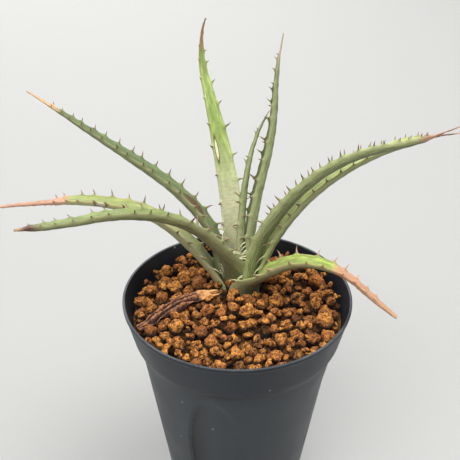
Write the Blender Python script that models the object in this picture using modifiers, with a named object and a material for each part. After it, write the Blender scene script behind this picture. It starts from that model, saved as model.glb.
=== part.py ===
"""A young dyckia, a spiny rosette plant, growing in a tall round slit pot.

The frame is the pot's own: the origin is the centre of the flat underside of the pot,
+Z is up and -Y is the side that faces the viewer. The pot's axis is the Z axis.
Everything is in metres, and each piece is one closed solid of its own.
"""

import math
import random

import bmesh
import bpy
import numpy as np
from mathutils import Matrix, Vector

MM = 0.001

# ---------------------------------------------------------------- driving sizes
CLEARANCE = 0.3 * MM  # gap kept between pieces that touch

POT_HEIGHT = 120 * MM
POT_RIM_RADIUS = 52.5 * MM
POT_BASE_RADIUS = 32 * MM
POT_WALL = 1.8 * MM
POT_FLOOR = 2.4 * MM
COLLAR_HEIGHT = 19 * MM  # the wider band round the mouth
COLLAR_WALL = 1.2 * MM
COLLAR_TAPER = 4.3 * MM  # how much smaller the collar's lower edge is than the rim
COLLAR_STEP = 2.5 * MM  # how far the body stands back under the collar
COLLAR_SHOULDER = 3 * MM  # height of the slope between collar and body
LIP_RADIUS = 0.5 * MM
LIP_BEAD = 0.3 * MM  # how far the bead round the mouth stands out from the collar
LIP_BEAD_HEIGHT = 1.2 * MM
COLLAR_EDGE = 0.6 * MM  # rounding of the collar's lower edge
FOOT_CHAMFER = 0.8 * MM
POT_SIDES = 72

TONGUE_COUNT = 4
TONGUE_FIRST_HEADING = 237  # degrees from +X, the tongue's deep edge nearest the front
TONGUE_SWEEP = 40  # degrees of the wall that a tongue takes at its foot
TONGUE_PEAK = 0.43  # where the arch is highest, as a share of the way across
TONGUE_MARGIN = 4 * MM  # from the top of the tallest part of the arch to the shoulder
TONGUE_SPRING = 0.45  # height of the arch's ends, as a share of its top
TONGUE_DEPTH = 1.0 * MM  # step at the deep edge, fading to nothing across the tongue
TONGUE_COLUMNS = 10
SLIT_WIDTH = 3 * MM
SLIT_HEIGHT = 36 * MM
SLIT_REACH = 7 * MM  # how far a slit runs in under the pot
PAST = 2 * MM  # how far a cutter runs out past what it cuts

SOIL_DEPTH = 12 * MM  # the soil's flat top below the rim
CROWN_CENTRE = (1 * MM, 19 * MM)  # the plant stands behind the middle of the pot
CROWN_RISE = 2 * MM  # the crown's top above the soil's
CROWN_MARGIN = 0.4 * MM  # from the outermost leaf's foot to the crown's edge
CROWN_DEPTH = 9 * MM
CROWN_EDGE = 1.5 * MM
ROOT_LENGTH = 34 * MM
ROOT_RADIUS = 2.2 * MM
CROWN_SIDES = 24

LEAF_SCALE = 1.0  # the whole rosette, about its crown
LEAF_THICKNESS = 3.8 * MM
LEAF_MARGIN = 0.55 * MM
BACK_SHARE = 0.65  # share of the thickness that lies behind the midrib
RIM_BAND = 4 * MM  # how far to each side of the rim a leaf has to lie above it
MOST_LIFT = 45  # degrees
FOOT_SLOPES = 3  # the slopes at a leaf's foot that are left as they are
FOOT_SHARE = 0.04  # share of its length over which a leaf still faces the crown
TURN_SHARE = 0.20  # share by which it has turned to its own heading
SPINE_LENGTH = 2.3 * MM
SPINE_FOOT = 0.8 * MM  # half the length of margin that a spine grows from
SPINE_RISE = 0.4  # how much a spine points up out of the blade, to 1 sideways
SPINE_LEAN = (-0.35, 0.45)  # how much it leans towards the leaf's tip, foot and tip
SPINE_SHRINK = (1.1, 0.6)  # its length at the leaf's foot and tip, as a share
SPINES_PER_MARGIN = 12
FOOT_CURL = 38  # degrees that half the blade curls at the foot

GRANULE_SIZE = 5.6 * MM
GRANULE_COUNT = 31
TRIES_PER_GRANULE = 60
GRANULE_FLATNESS = 0.8
RANDOM_SEED = 7
HUSK_FLATNESS = 0.44
HUSK_SIDES = 8
HUSK_SECTIONS = 16

# The slope of a leaf's midrib above the horizontal is given in degrees at these
# fractions of its length, and changes evenly between them, so that a leaf is a
# chain of arcs.
SLOPE_STATIONS = (0.0, 0.12, 0.30, 0.50, 0.75, 1.0)

# name, foot from the crown's centre in leaf thicknesses, heading, roll, curl, length,
# width and width of the dried end (mm), share of the width left where it dries, share
# that is green, slopes
LEAVES = (
    ("leaf_tall_left", (-0.21, 2.05), 116, 0, 46, 130, 12.0, 1.3, 0.32, 0.87,
     (76, 78, 72, 63, 56, 130)),
    ("leaf_tall_right", (1.24, 1.37), 22, -20, 62, 123, 10.5, 1.2, 0.38, 0.90,
     (90, 90, 81, 76, 89, 79)),
    ("leaf_inner_narrow", (-0.05, 0.63), 40, -40, 50, 90, 6.0, 0.9, 0.45, 0.92,
     (90, 90, 88, 84, 74, 46)),
    ("leaf_upper_left", (-2.68, 0.76), 168, 5, 60, 136, 10.0, 1.6, 0.34, 0.84,
     (90, 86, 50, 33, 31, 30)),
    ("leaf_front_left", (-0.08, -0.87), 206, 0, 52, 128, 12.0, 2.2, 0.55, 0.92,
     (83, 66, 50, 25, 2, 9)),
    ("leaf_low_left", (-2.32, -0.68), 177, 0, 52, 126, 11.0, 2.4, 0.60, 0.72,
     (72, 58, 46, 14, -6, -9)),
    ("leaf_upper_right", (1.58, -0.63), -4, -25, 66, 137, 12.5, 1.0, 0.50, 0.87,
     (90, 80, 60, 44, 14, 29)),
    ("leaf_lower_right", (2.58, 0.21), 5, 0, 56, 129, 11.0, 1.0, 0.45, 0.87,
     (90, 73, 57, 40, 20, 3)),
    ("leaf_drooping_right", (0.84, -1.95), -18, 0, 50, 88, 11.0, 4.0, 0.62, 0.60,
     (80, 47, 36, -1, -39, -33)),
)

# the shrivelled leaf that lies on the soil: x and y from the pot's axis as shares of
# the soil's radius, height above the soil's top and width in mm
WITHERED_LEAF = (
    (-0.23, 0.19, 5.6, 5.0),
    (-0.41, 0.06, 6.4, 6.0),
    (-0.58, -0.04, 6.2, 5.0),
    (-0.72, -0.23, 6.6, 3.6),
    (-0.81, -0.33, 6.2, 2.6),
    (-0.93, -0.39, 5.6, 1.2),
)

# ------------------------------------------------------------- worked-out sizes
SOIL_TOP = POT_HEIGHT - SOIL_DEPTH
CROWN_TOP = SOIL_TOP + CROWN_RISE
COLLAR_FOOT_Z = POT_HEIGHT - COLLAR_HEIGHT
COLLAR_FOOT_RADIUS = POT_RIM_RADIUS - COLLAR_TAPER
BODY_TOP_Z = COLLAR_FOOT_Z - COLLAR_SHOULDER
BODY_TOP_RADIUS = COLLAR_FOOT_RADIUS - COLLAR_STEP
BODY_TAPER = (BODY_TOP_RADIUS - POT_BASE_RADIUS) / BODY_TOP_Z
TONGUE_TOP_Z = BODY_TOP_Z - TONGUE_MARGIN
LEAF_DEPTH = LEAF_THICKNESS * LEAF_SCALE
CROWN_RADIUS = max(math.hypot(*entry[1]) for entry in LEAVES) * LEAF_DEPTH + CROWN_MARGIN


# ------------------------------------------------------------------ small tools
def clear_scene():
    for old in list(bpy.data.objects):
        bpy.data.objects.remove(old, do_unlink=True)


def make_collection(name, hidden=False):
    collection = bpy.data.collections.new(name)
    bpy.context.scene.collection.children.link(collection)
    collection.hide_render = hidden
    return collection


def make_material(name, colour, roughness, metallic=0.0):
    material = bpy.data.materials.new(name)
    material.use_nodes = True
    shader = material.node_tree.nodes["Principled BSDF"]
    shader.inputs["Base Color"].default_value = (*colour, 1.0)
    shader.inputs["Roughness"].default_value = roughness
    shader.inputs["Metallic"].default_value = metallic
    material.diffuse_color = (*colour, 1.0)
    return material


def mesh_object(name, verts, faces, collection, material=None):
    mesh = bpy.data.meshes.new(name)
    mesh.from_pydata([tuple(v) for v in verts], [], faces)
    made = bpy.data.objects.new(name, mesh)
    collection.objects.link(made)
    if material:
        mesh.materials.append(material)
    return made


def recalculate_normals(made):
    work = bmesh.new()
    work.from_mesh(made.data)
    bmesh.ops.recalc_face_normals(work, faces=work.faces)
    work.to_mesh(made.data)
    work.free()


def turned(name, profile, collection, material=None, sides=POT_SIDES):
    """A solid of revolution: the profile runs down the outer side and back up inside."""
    verts = [(radius, 0.0, height) for radius, height in profile]
    edges = [(i, i + 1) for i in range(len(profile) - 1)]
    mesh = bpy.data.meshes.new(name)
    mesh.from_pydata(verts, edges, [])
    made = bpy.data.objects.new(name, mesh)
    collection.objects.link(made)
    screw = made.modifiers.new("Turn", "SCREW")
    screw.steps = sides
    screw.render_steps = sides
    screw.use_merge_vertices = True
    screw.merge_threshold = 0.00001
    screw.use_smooth_shade = True
    if material:
        mesh.materials.append(material)
    return made


def cut(target, cutter):
    cutter.hide_render = True
    cutter.display_type = "WIRE"
    boolean = target.modifiers.new("Cut " + cutter.name, "BOOLEAN")
    boolean.operation = "DIFFERENCE"
    boolean.solver = "EXACT"
    boolean.object = cutter


def heading_vector(degrees):
    angle = math.radians(degrees)
    return Vector((math.cos(angle), math.sin(angle), 0.0))


# -------------------------------------------------------------------------- pot
def body_radius(z):
    """Outer radius of the pot's tapered body."""
    return POT_BASE_RADIUS + BODY_TAPER * z


def collar_radius(z):
    """Outer radius of the collar, a cone that widens to the rim."""
    return COLLAR_FOOT_RADIUS + COLLAR_TAPER * (z - COLLAR_FOOT_Z) / COLLAR_HEIGHT


def pot_profile():
    inner_floor_radius = body_radius(POT_FLOOR) - POT_WALL
    lip_z = POT_HEIGHT - LIP_RADIUS
    bead_z = lip_z - LIP_BEAD_HEIGHT
    outer = [
        (POT_RIM_RADIUS - LIP_RADIUS * 0.7, POT_HEIGHT),
        (POT_RIM_RADIUS, lip_z),
        (collar_radius(bead_z) - LIP_BEAD, bead_z),
        (COLLAR_FOOT_RADIUS, COLLAR_FOOT_Z),
        (COLLAR_FOOT_RADIUS - COLLAR_EDGE, COLLAR_FOOT_Z - COLLAR_EDGE),
        (BODY_TOP_RADIUS, BODY_TOP_Z),
        (POT_BASE_RADIUS, FOOT_CHAMFER),
        (POT_BASE_RADIUS - FOOT_CHAMFER, 0.0),
        (0.0, 0.0),
    ]
    inner = [
        (0.0, POT_FLOOR),
        (inner_floor_radius, POT_FLOOR),
        (BODY_TOP_RADIUS - POT_WALL, BODY_TOP_Z),
        (COLLAR_FOOT_RADIUS - COLLAR_WALL, COLLAR_FOOT_Z),
        (POT_RIM_RADIUS - COLLAR_WALL, lip_z),
        (POT_RIM_RADIUS - COLLAR_WALL + LIP_RADIUS * 0.5, POT_HEIGHT),
    ]
    return outer + inner + outer[:1]


def tongue_cutter(index, collection):
    """The space in front of one tongue: outside the wall, pushed inwards at one edge.

    Seen from outside, the tongue is a tall arch. Its inner face is the body's own cone
    moved sideways, so the cut is deepest at the first edge and runs out at the other.
    """
    first = TONGUE_FIRST_HEADING + index * 360 / TONGUE_COUNT
    shift = TONGUE_DEPTH / math.sin(math.radians(TONGUE_SWEEP))
    push = heading_vector(first + TONGUE_SWEEP + 90) * shift
    verts = []
    for column in range(TONGUE_COLUMNS + 1):
        across = column / TONGUE_COLUMNS
        heading = first + TONGUE_SWEEP * across
        run = TONGUE_PEAK if across < TONGUE_PEAK else 1 - TONGUE_PEAK
        arch = math.sqrt(max(0.0, 1 - ((across - TONGUE_PEAK) / run) ** 2))
        top = TONGUE_TOP_Z * (TONGUE_SPRING + (1 - TONGUE_SPRING) * arch)
        for z in (-PAST, top):
            for extra in (0.0, COLLAR_STEP + PAST):
                radius = body_radius(z) + extra
                point = heading_vector(heading) * radius
                if not extra:
                    point += push
                verts.append((point.x, point.y, z))
    faces = []
    for column in range(TONGUE_COLUMNS):
        a = column * 4
        b = a + 4
        faces += [(a, a + 2, b + 2, b), (a + 1, b + 1, b + 3, a + 3)]
        faces += [(a, b, b + 1, a + 1), (a + 2, a + 3, b + 3, b + 2)]
    end = TONGUE_COLUMNS * 4
    faces += [(0, 1, 3, 2), (end, end + 2, end + 3, end + 1)]
    made = mesh_object(f"tongue_cut_{index}", verts, faces, collection)
    recalculate_normals(made)
    return made


def slit_cutter(index, collection):
    """A narrow drainage slit up the deep edge of a tongue and in under the pot."""
    heading = TONGUE_FIRST_HEADING + index * 360 / TONGUE_COUNT
    heading += math.degrees(SLIT_WIDTH * 0.6 / POT_BASE_RADIUS)
    inner = POT_BASE_RADIUS - SLIT_REACH
    outer = body_radius(SLIT_HEIGHT) + PAST
    bpy.ops.mesh.primitive_cube_add(size=1)
    made = bpy.context.active_object
    made.name = f"slit_cut_{index}"
    size = Vector((outer - inner, SLIT_WIDTH, SLIT_HEIGHT + PAST))
    centre = heading_vector(heading) * (inner + outer) / 2
    centre.z = (SLIT_HEIGHT - PAST) / 2
    made.data.transform(Matrix.Diagonal((*size, 1.0)))
    made.matrix_world = Matrix.Translation(centre) @ Matrix.Rotation(math.radians(heading), 4, "Z")
    for owner in list(made.users_collection):
        owner.objects.unlink(made)
    collection.objects.link(made)
    return made


def make_pot(parts, cutters):
    plastic = make_material("pot_plastic", (0.030, 0.034, 0.042), 0.55)
    pot = turned("pot", pot_profile(), parts, plastic)
    for index in range(TONGUE_COUNT):
        cut(pot, tongue_cutter(index, cutters))
        cut(pot, slit_cutter(index, cutters))
    return pot


# ------------------------------------------------------------- soil and crown
def soil_radius():
    """Radius of the soil's top, a clearance inside the collar's wall."""
    return collar_radius(SOIL_TOP) - COLLAR_WALL - CLEARANCE


def soil_profile():
    """The soil fills the pot to its own level, a clearance inside the wall."""
    gap = CLEARANCE
    floor = POT_FLOOR + gap
    wall = POT_WALL + gap
    return [
        (0.0, SOIL_TOP),
        (soil_radius(), SOIL_TOP),
        (COLLAR_FOOT_RADIUS - COLLAR_WALL - gap * 1.5, COLLAR_FOOT_Z),
        (BODY_TOP_RADIUS - wall, BODY_TOP_Z),
        (body_radius(floor) - wall, floor),
        (0.0, floor),
    ]


def crown_profile(grow=0.0, top=CROWN_TOP):
    """The short stem that the leaves stand on, with the stub of its root below."""
    neck = CROWN_TOP - CROWN_DEPTH
    return [
        (0.0, top),
        (CROWN_RADIUS - CROWN_EDGE + grow, top),
        (CROWN_RADIUS + grow, CROWN_TOP - CROWN_EDGE),
        (CROWN_RADIUS * 0.9 + grow, CROWN_TOP - CROWN_DEPTH * 0.5),
        (ROOT_RADIUS * 2 + grow, neck - grow),
        (ROOT_RADIUS + grow, neck - ROOT_LENGTH * 0.4),
        (ROOT_RADIUS * 0.5 + grow, neck - ROOT_LENGTH - grow),
        (0.0, neck - ROOT_LENGTH - grow),
    ]


def place_at_crown(made):
    made.location = (*CROWN_CENTRE, 0.0)
    return made


def make_crown(parts):
    stem = make_material("crown_stem", (0.30, 0.27, 0.15), 0.8)
    return place_at_crown(turned("crown_and_root", crown_profile(), parts, stem, CROWN_SIDES))


def make_soil(parts, cutters):
    earth = make_material("soil_earth", (0.30, 0.15, 0.065), 0.95)
    soil = turned("soil", soil_profile(), parts, earth)
    pocket_profile = crown_profile(grow=CLEARANCE, top=CROWN_TOP + PAST)
    pocket = turned("crown_pocket", pocket_profile, cutters, sides=CROWN_SIDES)
    cut(soil, place_at_crown(pocket))
    return soil


# ----------------------------------------------------------------------- leaves
def midrib(foot, heading, length, slopes, steps=80):
    """Points and directions along a leaf, found by walking up it in short steps."""
    shares = np.linspace(0.0, 1.0, steps + 1)
    middle = (shares[1:] + shares[:-1]) / 2
    slope = np.radians(np.interp(middle, SLOPE_STATIONS, slopes))
    flat = np.array(heading_vector(heading))
    steps_taken = np.outer(np.cos(slope), flat)
    steps_taken[:, 2] = np.sin(slope)
    points = np.vstack([foot, foot + np.cumsum(steps_taken, axis=0) * length / steps])
    return shares, points


def clears_rim(points):
    """True where a leaf that reaches over the pot's rim lies a clearance above it."""
    reach = np.hypot(points[:, 0], points[:, 1])
    over = (reach > POT_RIM_RADIUS - RIM_BAND) & (reach < POT_RIM_RADIUS + RIM_BAND)
    lowest = POT_HEIGHT + CLEARANCE + BACK_SHARE * LEAF_DEPTH
    return bool((points[over, 2] > lowest).all())


def lifted_slopes(foot, heading, length, slopes):
    """The slopes, raised past the foot by the fewest degrees that clear the pot's rim."""
    for extra in range(MOST_LIFT):
        raised = slopes[:FOOT_SLOPES] + tuple(slope + extra for slope in slopes[FOOT_SLOPES:])
        if clears_rim(midrib(foot, heading, length, raised)[1]):
            break
    return raised


def nearest_turn(angle, target):
    """The same direction, counted so that it lies within half a turn of the target."""
    return target + (angle - target + 180) % 360 - 180


def leaf_frame(share, shares, points, heading, foot_heading, slopes, roll):
    """Centre, direction, side and upper-face direction at a share of the length.

    The foot hugs the crown, and the blade turns from there to the leaf's own heading.
    """
    centre = Vector([np.interp(share, shares, points[:, k]) for k in range(3)])
    slope = math.radians(np.interp(share, SLOPE_STATIONS, slopes))
    along = heading_vector(heading) * math.cos(slope) + Vector((0, 0, math.sin(slope)))
    if share == 0.0:
        along = Vector((0, 0, 1))
    facing = np.interp(share, (0.0, FOOT_SHARE, TURN_SHARE), (foot_heading, foot_heading, heading))
    side = Vector((0, 0, 1)).cross(heading_vector(facing))
    side = (side - along * side.dot(along)).normalized()
    turn = np.interp(share, (0.0, FOOT_SHARE, TURN_SHARE), (0.0, 0.0, roll))
    side = Matrix.Rotation(math.radians(turn), 3, along) @ side
    return centre, along, side, along.cross(side)


def leaf_width(share, width, dried, taper, green):
    """Width of the blade across its curl, from the foot to the dried end."""
    stations = (0.0, 0.06, 0.17, green - 0.02, green + 0.03, 1.0)
    widths = (0.45 * width, 0.55 * width, width, taper * width, dried, 0.4 * dried)
    return float(np.interp(share, stations, widths))


def leaf_ring(centre, side, up, width, share, green, curl):
    """The outline across a leaf: a hollow upper face and a rounded back."""
    half_curl = math.radians(np.interp(share, (0.0, 0.2, 1.0), (FOOT_CURL, curl, curl)))
    thick = LEAF_DEPTH * np.interp(share, (0.0, 0.3, green), (0.6, 1.0, 0.6))
    thick = min(thick, width * 0.6)
    edge = min(LEAF_MARGIN * LEAF_SCALE, thick * 0.6)
    radius = width / (2 * half_curl)
    ring = []

    def add(across, face):
        angle = half_curl * across
        body = edge + (thick - edge) * (1 - across * across)
        outward = Vector(up) * math.cos(angle) - Vector(side) * math.sin(angle)
        arc = Vector(side) * radius * math.sin(angle) + Vector(up) * radius * (1 - math.cos(angle))
        ring.append(centre + arc + outward * body * face)

    for across in (-1.0, -0.5, 0.0, 0.5, 1.0):
        add(across, 1 - BACK_SHARE)
    for across in (0.97, 0.5, -0.5, -0.97):
        add(across, -BACK_SHARE)
    return ring


def spine_stations(length, green):
    """Pairs of shares of the length, the foot of one spine between each two."""
    half = SPINE_FOOT / length
    centres = np.linspace(0.10, green - 0.03, SPINES_PER_MARGIN)
    return [(centre - half, centre + half) for centre in centres]


def make_leaf(entry, parts, material):
    """A leaf as a loft, with a spine standing on each margin between paired stations."""
    name, foot, heading, roll, curl, length, width, dried, taper, green, slopes = entry
    length *= LEAF_SCALE * MM
    width *= LEAF_SCALE * MM
    dried *= LEAF_SCALE * MM
    start = np.array((*CROWN_CENTRE, CROWN_TOP + CLEARANCE))
    start[:2] += np.array(foot) * LEAF_DEPTH
    foot_heading = nearest_turn(math.degrees(math.atan2(foot[1], foot[0])), heading)
    slopes = lifted_slopes(start, heading, length, slopes)
    shares, points = midrib(start, heading, length, slopes)
    pairs = spine_stations(length, green)
    stations = [0.0, 0.05] + [share for pair in pairs for share in pair]
    stations += [green + 0.02, green * 0.5 + 0.51, 1.0]

    verts = []
    frames = []
    for share in stations:
        centre, along, side, up = leaf_frame(
            share, shares, points, heading, foot_heading, slopes, roll
        )
        frames.append((along, side, up))
        blade = leaf_width(share, width, dried, taper, green)
        verts += leaf_ring(centre, side, up, blade, share, green, curl)

    around = len(verts) // len(stations)
    margins = (4, 8)  # the faces of the outline that lie on the blade's two margins
    last = (len(stations) - 1) * around
    faces = [tuple(range(around)), tuple(reversed(range(last, last + around)))]
    for row in range(len(stations) - 1):
        on_spine = 2 <= row < 2 + 2 * len(pairs) and row % 2 == 0
        for k in range(around):
            here = row * around + k
            beside = row * around + (k + 1) % around
            quad = (here, here + around, beside + around, beside)
            if not on_spine or k not in margins:
                faces.append(quad)
                continue
            along, side, up = frames[row]
            out = side if k == margins[0] else -side
            lean = along * float(np.interp(stations[row], (0, 1), SPINE_LEAN))
            middle = sum((verts[corner] for corner in quad), Vector()) / 4
            reach = SPINE_LENGTH * LEAF_SCALE * float(np.interp(stations[row], (0, 1), SPINE_SHRINK))
            verts.append(middle + (out + up * SPINE_RISE + lean).normalized() * reach)
            tip = len(verts) - 1
            faces += [(quad[i], quad[(i + 1) % 4], tip) for i in range(4)]
    made = mesh_object(name, verts, faces, parts, material)
    recalculate_normals(made)
    made.data.shade_smooth()
    return made


def make_withered_leaf(parts):
    """A dead leaf lying curled on the soil: a flattened, wrinkled ribbon."""
    path = np.array(WITHERED_LEAF)
    path[:, :2] *= soil_radius() / MM
    knots = np.linspace(0, 1, len(path))
    verts = []
    for share in np.linspace(0, 1, HUSK_SECTIONS):
        x, y, rise, width = (np.interp(share, knots, path[:, k]) * MM for k in range(4))
        ahead = [np.interp(min(share + 0.05, 1), knots, path[:, k]) for k in range(2)]
        behind = [np.interp(max(share - 0.05, 0), knots, path[:, k]) for k in range(2)]
        flat = Vector((ahead[0] - behind[0], ahead[1] - behind[1], 0)).normalized()
        side = Vector((0, 0, 1)).cross(flat)
        centre = Vector((x, y, SOIL_TOP + rise))
        for k in range(HUSK_SIDES):
            angle = math.tau * k / HUSK_SIDES
            radius = width / 2 * (1 + 0.22 * math.sin(5 * angle + 9 * share))
            lift = Vector((0, 0, math.sin(angle) * radius * HUSK_FLATNESS))
            verts.append(centre + side * math.cos(angle) * radius + lift)
    last = (HUSK_SECTIONS - 1) * HUSK_SIDES
    faces = [tuple(range(HUSK_SIDES)), tuple(reversed(range(last, last + HUSK_SIDES)))]
    for row in range(HUSK_SECTIONS - 1):
        for k in range(HUSK_SIDES):
            here = row * HUSK_SIDES + k
            beside = row * HUSK_SIDES + (k + 1) % HUSK_SIDES
            faces.append((here, here + HUSK_SIDES, beside + HUSK_SIDES, beside))
    husk = make_material("withered_husk", (0.16, 0.075, 0.035), 0.85)
    made = mesh_object("withered_leaf", verts, faces, parts, husk)
    recalculate_normals(made)
    made.data.shade_smooth()
    return made


# --------------------------------------------------------------------- granules
def granule_places():
    """Places on the soil, each the furthest of its tries from the ones before it."""
    draw = random.Random(RANDOM_SEED)
    outermost = soil_radius() - GRANULE_SIZE * 0.75
    places = []
    while len(places) < GRANULE_COUNT:
        tries = []
        for _ in range(TRIES_PER_GRANULE):
            reach = outermost * math.sqrt(draw.random())
            angle = draw.uniform(0, math.tau)
            tries.append((reach * math.cos(angle), reach * math.sin(angle)))
        clear = [place for place in tries if clear_of_plant(place)]
        places += sorted(clear, key=lambda place: nearest(place, places))[-1:]
    return places


def nearest(place, places):
    """Distance to the nearest of the places, 0 where there is none yet."""
    return min((math.dist(place, other) for other in places), default=0.0)


def clear_of_plant(place):
    """True where a granule would stand clear of the leaves' feet and the dead leaf."""
    spot = Vector(place)
    if (spot - Vector(CROWN_CENTRE)).length < CROWN_RADIUS + GRANULE_SIZE * 1.3:
        return False
    for x, y, _, width in WITHERED_LEAF:
        if (spot - Vector((x, y)) * soil_radius()).length < width * MM / 2 + GRANULE_SIZE:
            return False
    return True


def make_granules(parts):
    """Loose lumps of baked clay on the soil, each an uneven ball of its own."""
    draw = random.Random(RANDOM_SEED)
    clay = make_material("granule_clay", (0.42, 0.20, 0.085), 0.95)
    for number, (x, y) in enumerate(granule_places(), start=1):
        size = GRANULE_SIZE * draw.uniform(0.8, 1.1)
        work = bmesh.new()
        bmesh.ops.create_icosphere(work, subdivisions=1, radius=size / 2)
        for vert in work.verts:
            vert.co *= draw.uniform(0.84, 1.0)
            vert.co.z *= GRANULE_FLATNESS
        lowest = min(vert.co.z for vert in work.verts)
        spin = Matrix.Rotation(draw.uniform(0, math.tau), 4, "Z")
        rest = Matrix.Translation((x, y, SOIL_TOP + CLEARANCE - lowest))
        bmesh.ops.transform(work, matrix=rest @ spin, verts=work.verts)
        mesh = bpy.data.meshes.new(f"granule_{number:02d}")
        work.to_mesh(mesh)
        work.free()
        mesh.materials.append(clay)
        made = bpy.data.objects.new(mesh.name, mesh)
        parts.objects.link(made)


# ------------------------------------------------------------------------- main
def main():
    clear_scene()
    parts = make_collection("potted_dyckia")
    cutters = make_collection("cutters", hidden=True)
    make_pot(parts, cutters)
    make_soil(parts, cutters)
    make_crown(parts)
    blade = make_material("leaf_blade", (0.33, 0.40, 0.20), 0.5)
    for entry in LEAVES:
        make_leaf(entry, parts, blade)
    make_withered_leaf(parts)
    make_granules(parts)


if __name__ == "__main__":
    main()
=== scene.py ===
"""The looks of a young dyckia in a slit pot: leaves, spines, granules, dead leaf and pot.

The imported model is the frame. Every piece here rides on it and takes its place from it.
"""

import math
import random
from collections import namedtuple

import bmesh
import bpy
import numpy as np
from bpy.props import FloatProperty, FloatVectorProperty, IntProperty, PointerProperty
from mathutils import Matrix, Vector, noise


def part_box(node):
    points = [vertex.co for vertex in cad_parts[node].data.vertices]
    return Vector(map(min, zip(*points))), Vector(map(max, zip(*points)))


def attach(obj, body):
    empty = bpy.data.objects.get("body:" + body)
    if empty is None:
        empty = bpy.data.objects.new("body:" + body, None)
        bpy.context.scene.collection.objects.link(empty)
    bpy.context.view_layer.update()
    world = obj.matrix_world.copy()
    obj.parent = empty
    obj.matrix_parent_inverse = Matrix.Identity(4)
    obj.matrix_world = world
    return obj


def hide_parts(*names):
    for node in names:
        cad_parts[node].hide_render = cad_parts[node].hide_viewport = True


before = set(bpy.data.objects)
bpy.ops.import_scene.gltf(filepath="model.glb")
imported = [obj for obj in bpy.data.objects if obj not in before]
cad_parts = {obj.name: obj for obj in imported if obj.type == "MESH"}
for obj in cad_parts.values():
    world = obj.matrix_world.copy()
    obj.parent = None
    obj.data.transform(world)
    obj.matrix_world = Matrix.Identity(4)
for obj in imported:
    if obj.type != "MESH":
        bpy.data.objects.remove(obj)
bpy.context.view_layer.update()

bl_info = {
    "name": "Potted Dyckia",
    "version": (1, 0, 0),
    "blender": (4, 5, 0),
    "location": "View3D > Sidebar > Dyckia",
    "description": "Builds the leaves, spines, granules and pot of a young dyckia",
    "category": "Object",
}

MM = 0.001
POT_LOW, POT_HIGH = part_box("pot")
SOIL_LOW, SOIL_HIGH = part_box("soil")
CROWN_LOW, CROWN_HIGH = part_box("crown_and_root")
GRANULE_NODES = sorted(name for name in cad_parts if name.startswith("granule_"))

RIM_RADIUS = (POT_HIGH.x - POT_LOW.x) / 2
RIM_Z = POT_HIGH.z
SOIL_RADIUS = (SOIL_HIGH.x - SOIL_LOW.x) / 2
SOIL_Z = SOIL_HIGH.z
CROWN_CENTRE = Vector(((CROWN_LOW.x + CROWN_HIGH.x) / 2, (CROWN_LOW.y + CROWN_HIGH.y) / 2))
CROWN_RADIUS = (CROWN_HIGH.x - CROWN_LOW.x) / 2
CROWN_Z = CROWN_HIGH.z


def tint(red, green, blue):
    """A colour given as it looks on a screen, as the linear values that shaders use."""
    return tuple(
        ((c + 0.055) / 1.055) ** 2.4 if c > 0.04045 else c / 12.92 for c in (red, green, blue))


# The slope of a leaf's midrib above the horizontal is given in degrees at these
# fractions of its length and changes evenly between them.
SLOPE_STATIONS = (0.0, 0.12, 0.30, 0.50, 0.75, 1.0)
FOOT_SHARE = 0.04  # share of its length over which a leaf still faces the crown
TURN_SHARE = 0.20  # share by which it has turned to its own heading
FOOT_CURL = 46  # degrees that half the blade curls at the foot
FOOT_SINK = 4 * MM  # how far a foot runs down among the granules

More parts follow.
